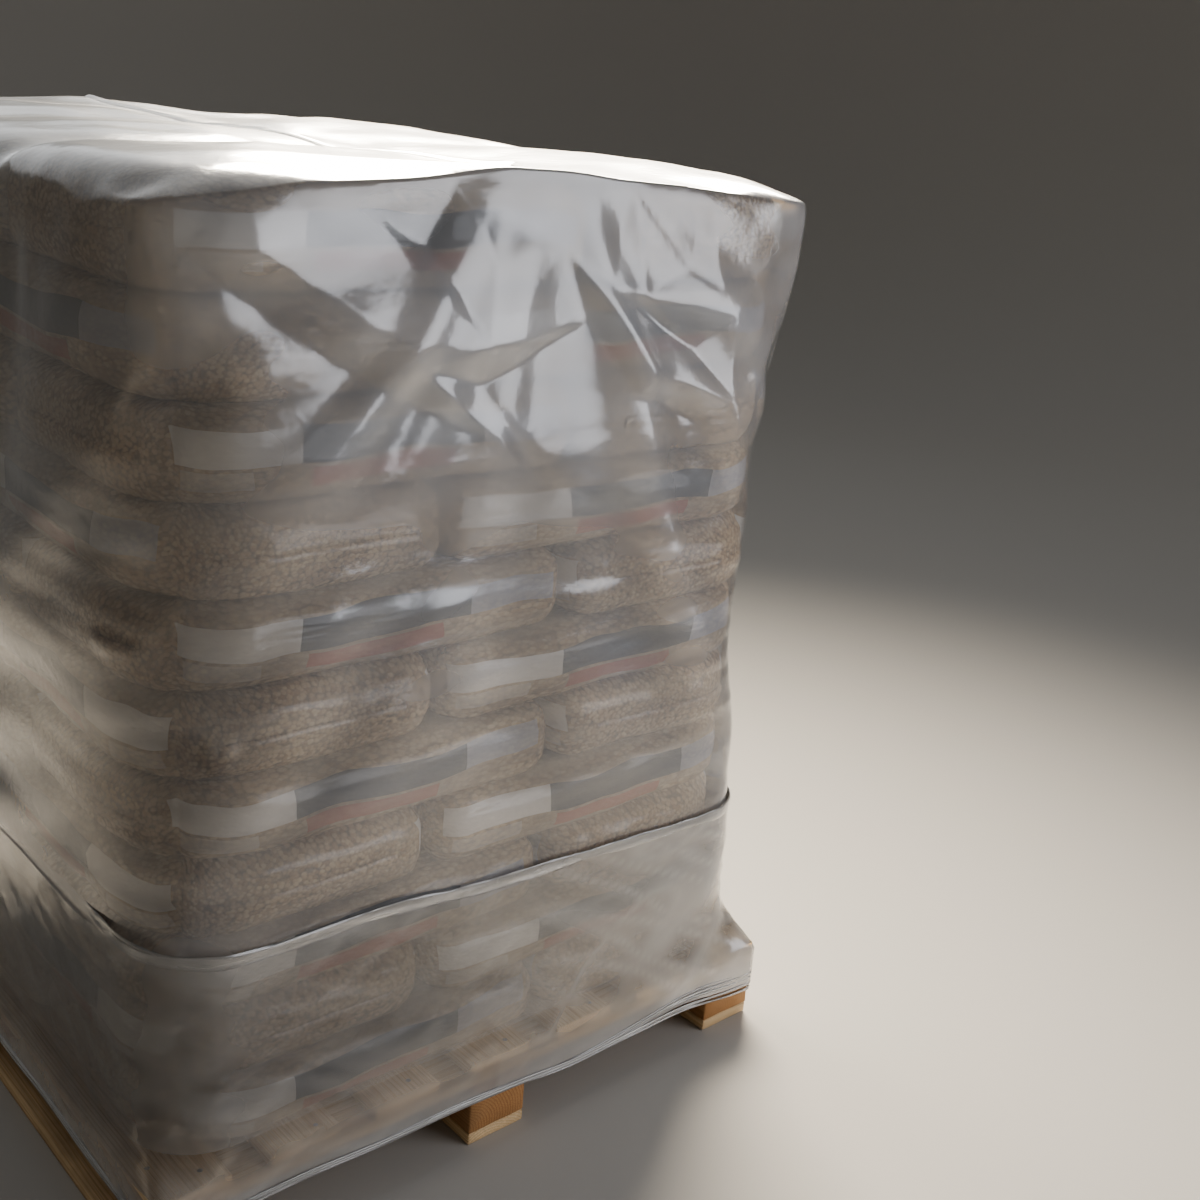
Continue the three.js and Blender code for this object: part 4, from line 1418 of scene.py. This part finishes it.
# The camera that took the photograph
CAMERA_PLACE = (-1.086, -1.898, 1.387)
CAMERA_PITCH = math.radians(19.34)
CAMERA_YAW = math.radians(42.67)
CAMERA_ROLL = math.radians(-4.90)


def plain_studio_paint(settings):
    """Matt emulsion sprayed on a smooth floor and wall: one even tone, no sheen."""
    material, tree, output = new_material("sprayed_matt_emulsion")
    shader = add_node(tree, "BsdfDiffuse", {"Color": (*settings.floor_colour, 1)})
    tree.links.new(shader.outputs[0], output.inputs["Surface"])
    return material


def studio_air(settings):
    """Dim light from all round, with a soft glow behind and above."""
    world = bpy.data.worlds.new("studio_air")
    world.use_nodes = True
    tree = world.node_tree
    tree.nodes.clear()
    heading = add_node(tree, "TexCoord").outputs["Generated"]
    facing = add_node(tree, "VectorMath", {0: heading, 1: (0.25, 0.80, 0.55)}, operation="DOT_PRODUCT")
    share = add_node(tree, "MapRange", {"Value": facing.outputs["Value"], "From Min": 0.55},
                     interpolation_type="SMOOTHSTEP")
    strength = add_node(tree, "Math", {0: share.outputs["Result"], 1: settings.back_glow,
                                       2: settings.air_strength}, operation="MULTIPLY_ADD").outputs[0]
    air = add_node(tree, "Background", {"Color": (*linear("EEF0F2"), 1), "Strength": strength})
    output = add_node(tree, "OutputWorld")
    tree.links.new(air.outputs[0], output.inputs["Surface"])
    return world


def add_soft_box(name, power, place, target, sides, spread, colour):
    """A soft box that faces its target and doesn't show itself to the camera."""
    lamp = bpy.data.lights.new(name, "AREA")
    set_values(lamp, energy=power, shape="RECTANGLE", size=sides[0], size_y=sides[1],
               spread=math.radians(spread), color=linear(colour))
    light = bpy.data.objects.new(name, lamp)
    bpy.context.scene.collection.objects.link(light)
    light.location = place
    light.rotation_euler = (Vector(target) - Vector(place)).to_track_quat("-Z", "Y").to_euler()
    light.visible_camera = False


def add_stage(settings):
    """A round pale floor that curves up into a low wall, the lights and the camera."""
    profile = [(2.0, 0.0), (FLOOR_RADIUS, 0.0)]
    for angle in np.linspace(0, math.pi / 2, 13)[1:]:
        profile.append((FLOOR_RADIUS + WALL_RADIUS * math.sin(angle),
                        WALL_RADIUS - WALL_RADIUS * math.cos(angle)))
    sides = 72
    verts = [(r * math.cos(2 * math.pi * s / sides), r * math.sin(2 * math.pi * s / sides), z)
             for r, z in profile for s in range(sides)]
    verts.append((0.0, 0.0, 0.0))
    faces = ring_faces(sides, len(profile))
    faces += [(s, len(verts) - 1, (s + 1) % sides) for s in range(sides)]
    floor = mesh_piece("studio_floor", verts, turned_over(faces), plain_studio_paint(settings))
    add_soft_box("key_light", settings.key_power, *KEY_LIGHT)
    add_soft_box("front_light", settings.front_power, *FRONT_LIGHT)
    bpy.context.scene.world = studio_air(settings)
    bpy.context.scene.view_settings.look = "AgX - Medium High Contrast"
    add_camera(settings)


def add_camera(settings):
    """The camera that took the photograph, from its place, pitch, yaw and roll."""
    ahead = Vector((math.sin(CAMERA_YAW) * math.cos(CAMERA_PITCH),
                    math.cos(CAMERA_YAW) * math.cos(CAMERA_PITCH), -math.sin(CAMERA_PITCH)))
    level = Vector((math.cos(CAMERA_YAW), -math.sin(CAMERA_YAW), 0))
    down = ahead.cross(level)
    right = math.cos(CAMERA_ROLL) * level + math.sin(CAMERA_ROLL) * down
    lower = math.cos(CAMERA_ROLL) * down - math.sin(CAMERA_ROLL) * level
    data = bpy.data.cameras.new("photo_camera")
    data.sensor_fit = "HORIZONTAL"
    data.sensor_width = 36
    data.lens = settings.focal_length
    camera = bpy.data.objects.new("photo_camera", data)
    bpy.context.scene.collection.objects.link(camera)
    columns = (right, -lower, -ahead)
    camera.matrix_world = Matrix([[*(column[row] for column in columns), CAMERA_PLACE[row]]
                                  for row in range(3)] + [[0, 0, 0, 1]])
    bpy.context.scene.camera = camera


# Operators, panel and registration

class PALLET_OT_wood(bpy.types.Operator):
    """Adds the pallet's sawn boards and blocks."""
    bl_idname = "pallet_of_sacks.add_wood"
    bl_label = "Pallet wood"

    def execute(self, context):
        add_pallet_wood(context.scene.pallet_settings)
        return {"FINISHED"}


class PALLET_OT_nails(bpy.types.Operator):
    """Adds the nail heads in the pallet."""
    bl_idname = "pallet_of_sacks.add_nails"
    bl_label = "Nails"

    def execute(self, context):
        add_nails(context.scene.pallet_settings)
        return {"FINISHED"}


class PALLET_OT_sacks(bpy.types.Operator):
    """Adds the 55 sacks of pellets."""
    bl_idname = "pallet_of_sacks.add_sacks"
    bl_label = "Sacks"

    def execute(self, context):
        add_sacks(context.scene.sack_settings)
        return {"FINISHED"}


class PALLET_OT_hood(bpy.types.Operator):
    """Adds the loose film hood. The sacks have to be there first."""
    bl_idname = "pallet_of_sacks.add_hood"
    bl_label = "Hood"

    def execute(self, context):
        if "pellet_sack_01_1" not in bpy.data.objects:
            raise RuntimeError("add the sacks before the hood")
        add_hood(context.scene.hood_settings)
        return {"FINISHED"}


class PALLET_OT_wrap(bpy.types.Operator):
    """Adds the stretch film at the foot of the load."""
    bl_idname = "pallet_of_sacks.add_wrap"
    bl_label = "Stretch wrap"

    def execute(self, context):
        add_stretch_wrap(context.scene.wrap_settings, context.scene.hood_settings.clearance)
        return {"FINISHED"}


class PALLET_OT_wrap_edges(bpy.types.Operator):
    """Adds the wrap's gathered upper edge and lower strands."""
    bl_idname = "pallet_of_sacks.add_wrap_edges"
    bl_label = "Wrap edges"

    def execute(self, context):
        add_wrap_edges(context.scene.wrap_settings, context.scene.hood_settings.clearance)
        return {"FINISHED"}


class PALLET_OT_stage(bpy.types.Operator):
    """Adds the floor, the lights and the camera."""
    bl_idname = "pallet_of_sacks.add_stage"
    bl_label = "Stage"

    def execute(self, context):
        add_stage(context.scene.stage_settings)
        return {"FINISHED"}


OPERATORS = (PALLET_OT_wood, PALLET_OT_nails, PALLET_OT_sacks, PALLET_OT_hood, PALLET_OT_wrap,
             PALLET_OT_wrap_edges, PALLET_OT_stage)
SETTINGS = {
    "pallet_settings": PalletSettings,
    "sack_settings": SackSettings,
    "hood_settings": HoodSettings,
    "wrap_settings": WrapSettings,
    "stage_settings": StageSettings,
}


class PALLET_PT_sidebar(bpy.types.Panel):
    """Lists what the add-on can add, and its settings."""
    bl_idname = "PALLET_PT_sidebar"
    bl_label = "Pallet of sacks"
    bl_space_type = "VIEW_3D"
    bl_region_type = "UI"
    bl_category = "Pallet of sacks"

    def draw(self, context):
        for operator in OPERATORS:
            self.layout.operator(operator.bl_idname)
        for key, group in SETTINGS.items():
            box = self.layout.box()
            box.label(text=group.__doc__)
            for name in group.__annotations__:
                box.prop(getattr(context.scene, key), name)


def register():
    """Registers the settings, the operators and the panel."""
    for group in (*SETTINGS.values(), *OPERATORS, PALLET_PT_sidebar):
        bpy.utils.register_class(group)
    for key, group in SETTINGS.items():
        setattr(bpy.types.Scene, key, PointerProperty(type=group))


def unregister():
    """Takes off what register put on."""
    for key in SETTINGS:
        delattr(bpy.types.Scene, key)
    for group in reversed((*SETTINGS.values(), *OPERATORS, PALLET_PT_sidebar)):
        bpy.utils.unregister_class(group)


def main():
    """Builds everything in order."""
    register()
    bpy.ops.pallet_of_sacks.add_wood()
    bpy.ops.pallet_of_sacks.add_nails()
    bpy.ops.pallet_of_sacks.add_sacks()
    bpy.ops.pallet_of_sacks.add_hood()
    bpy.ops.pallet_of_sacks.add_wrap()
    bpy.ops.pallet_of_sacks.add_wrap_edges()
    bpy.ops.pallet_of_sacks.add_stage()


if __name__ == "__main__":
    main()
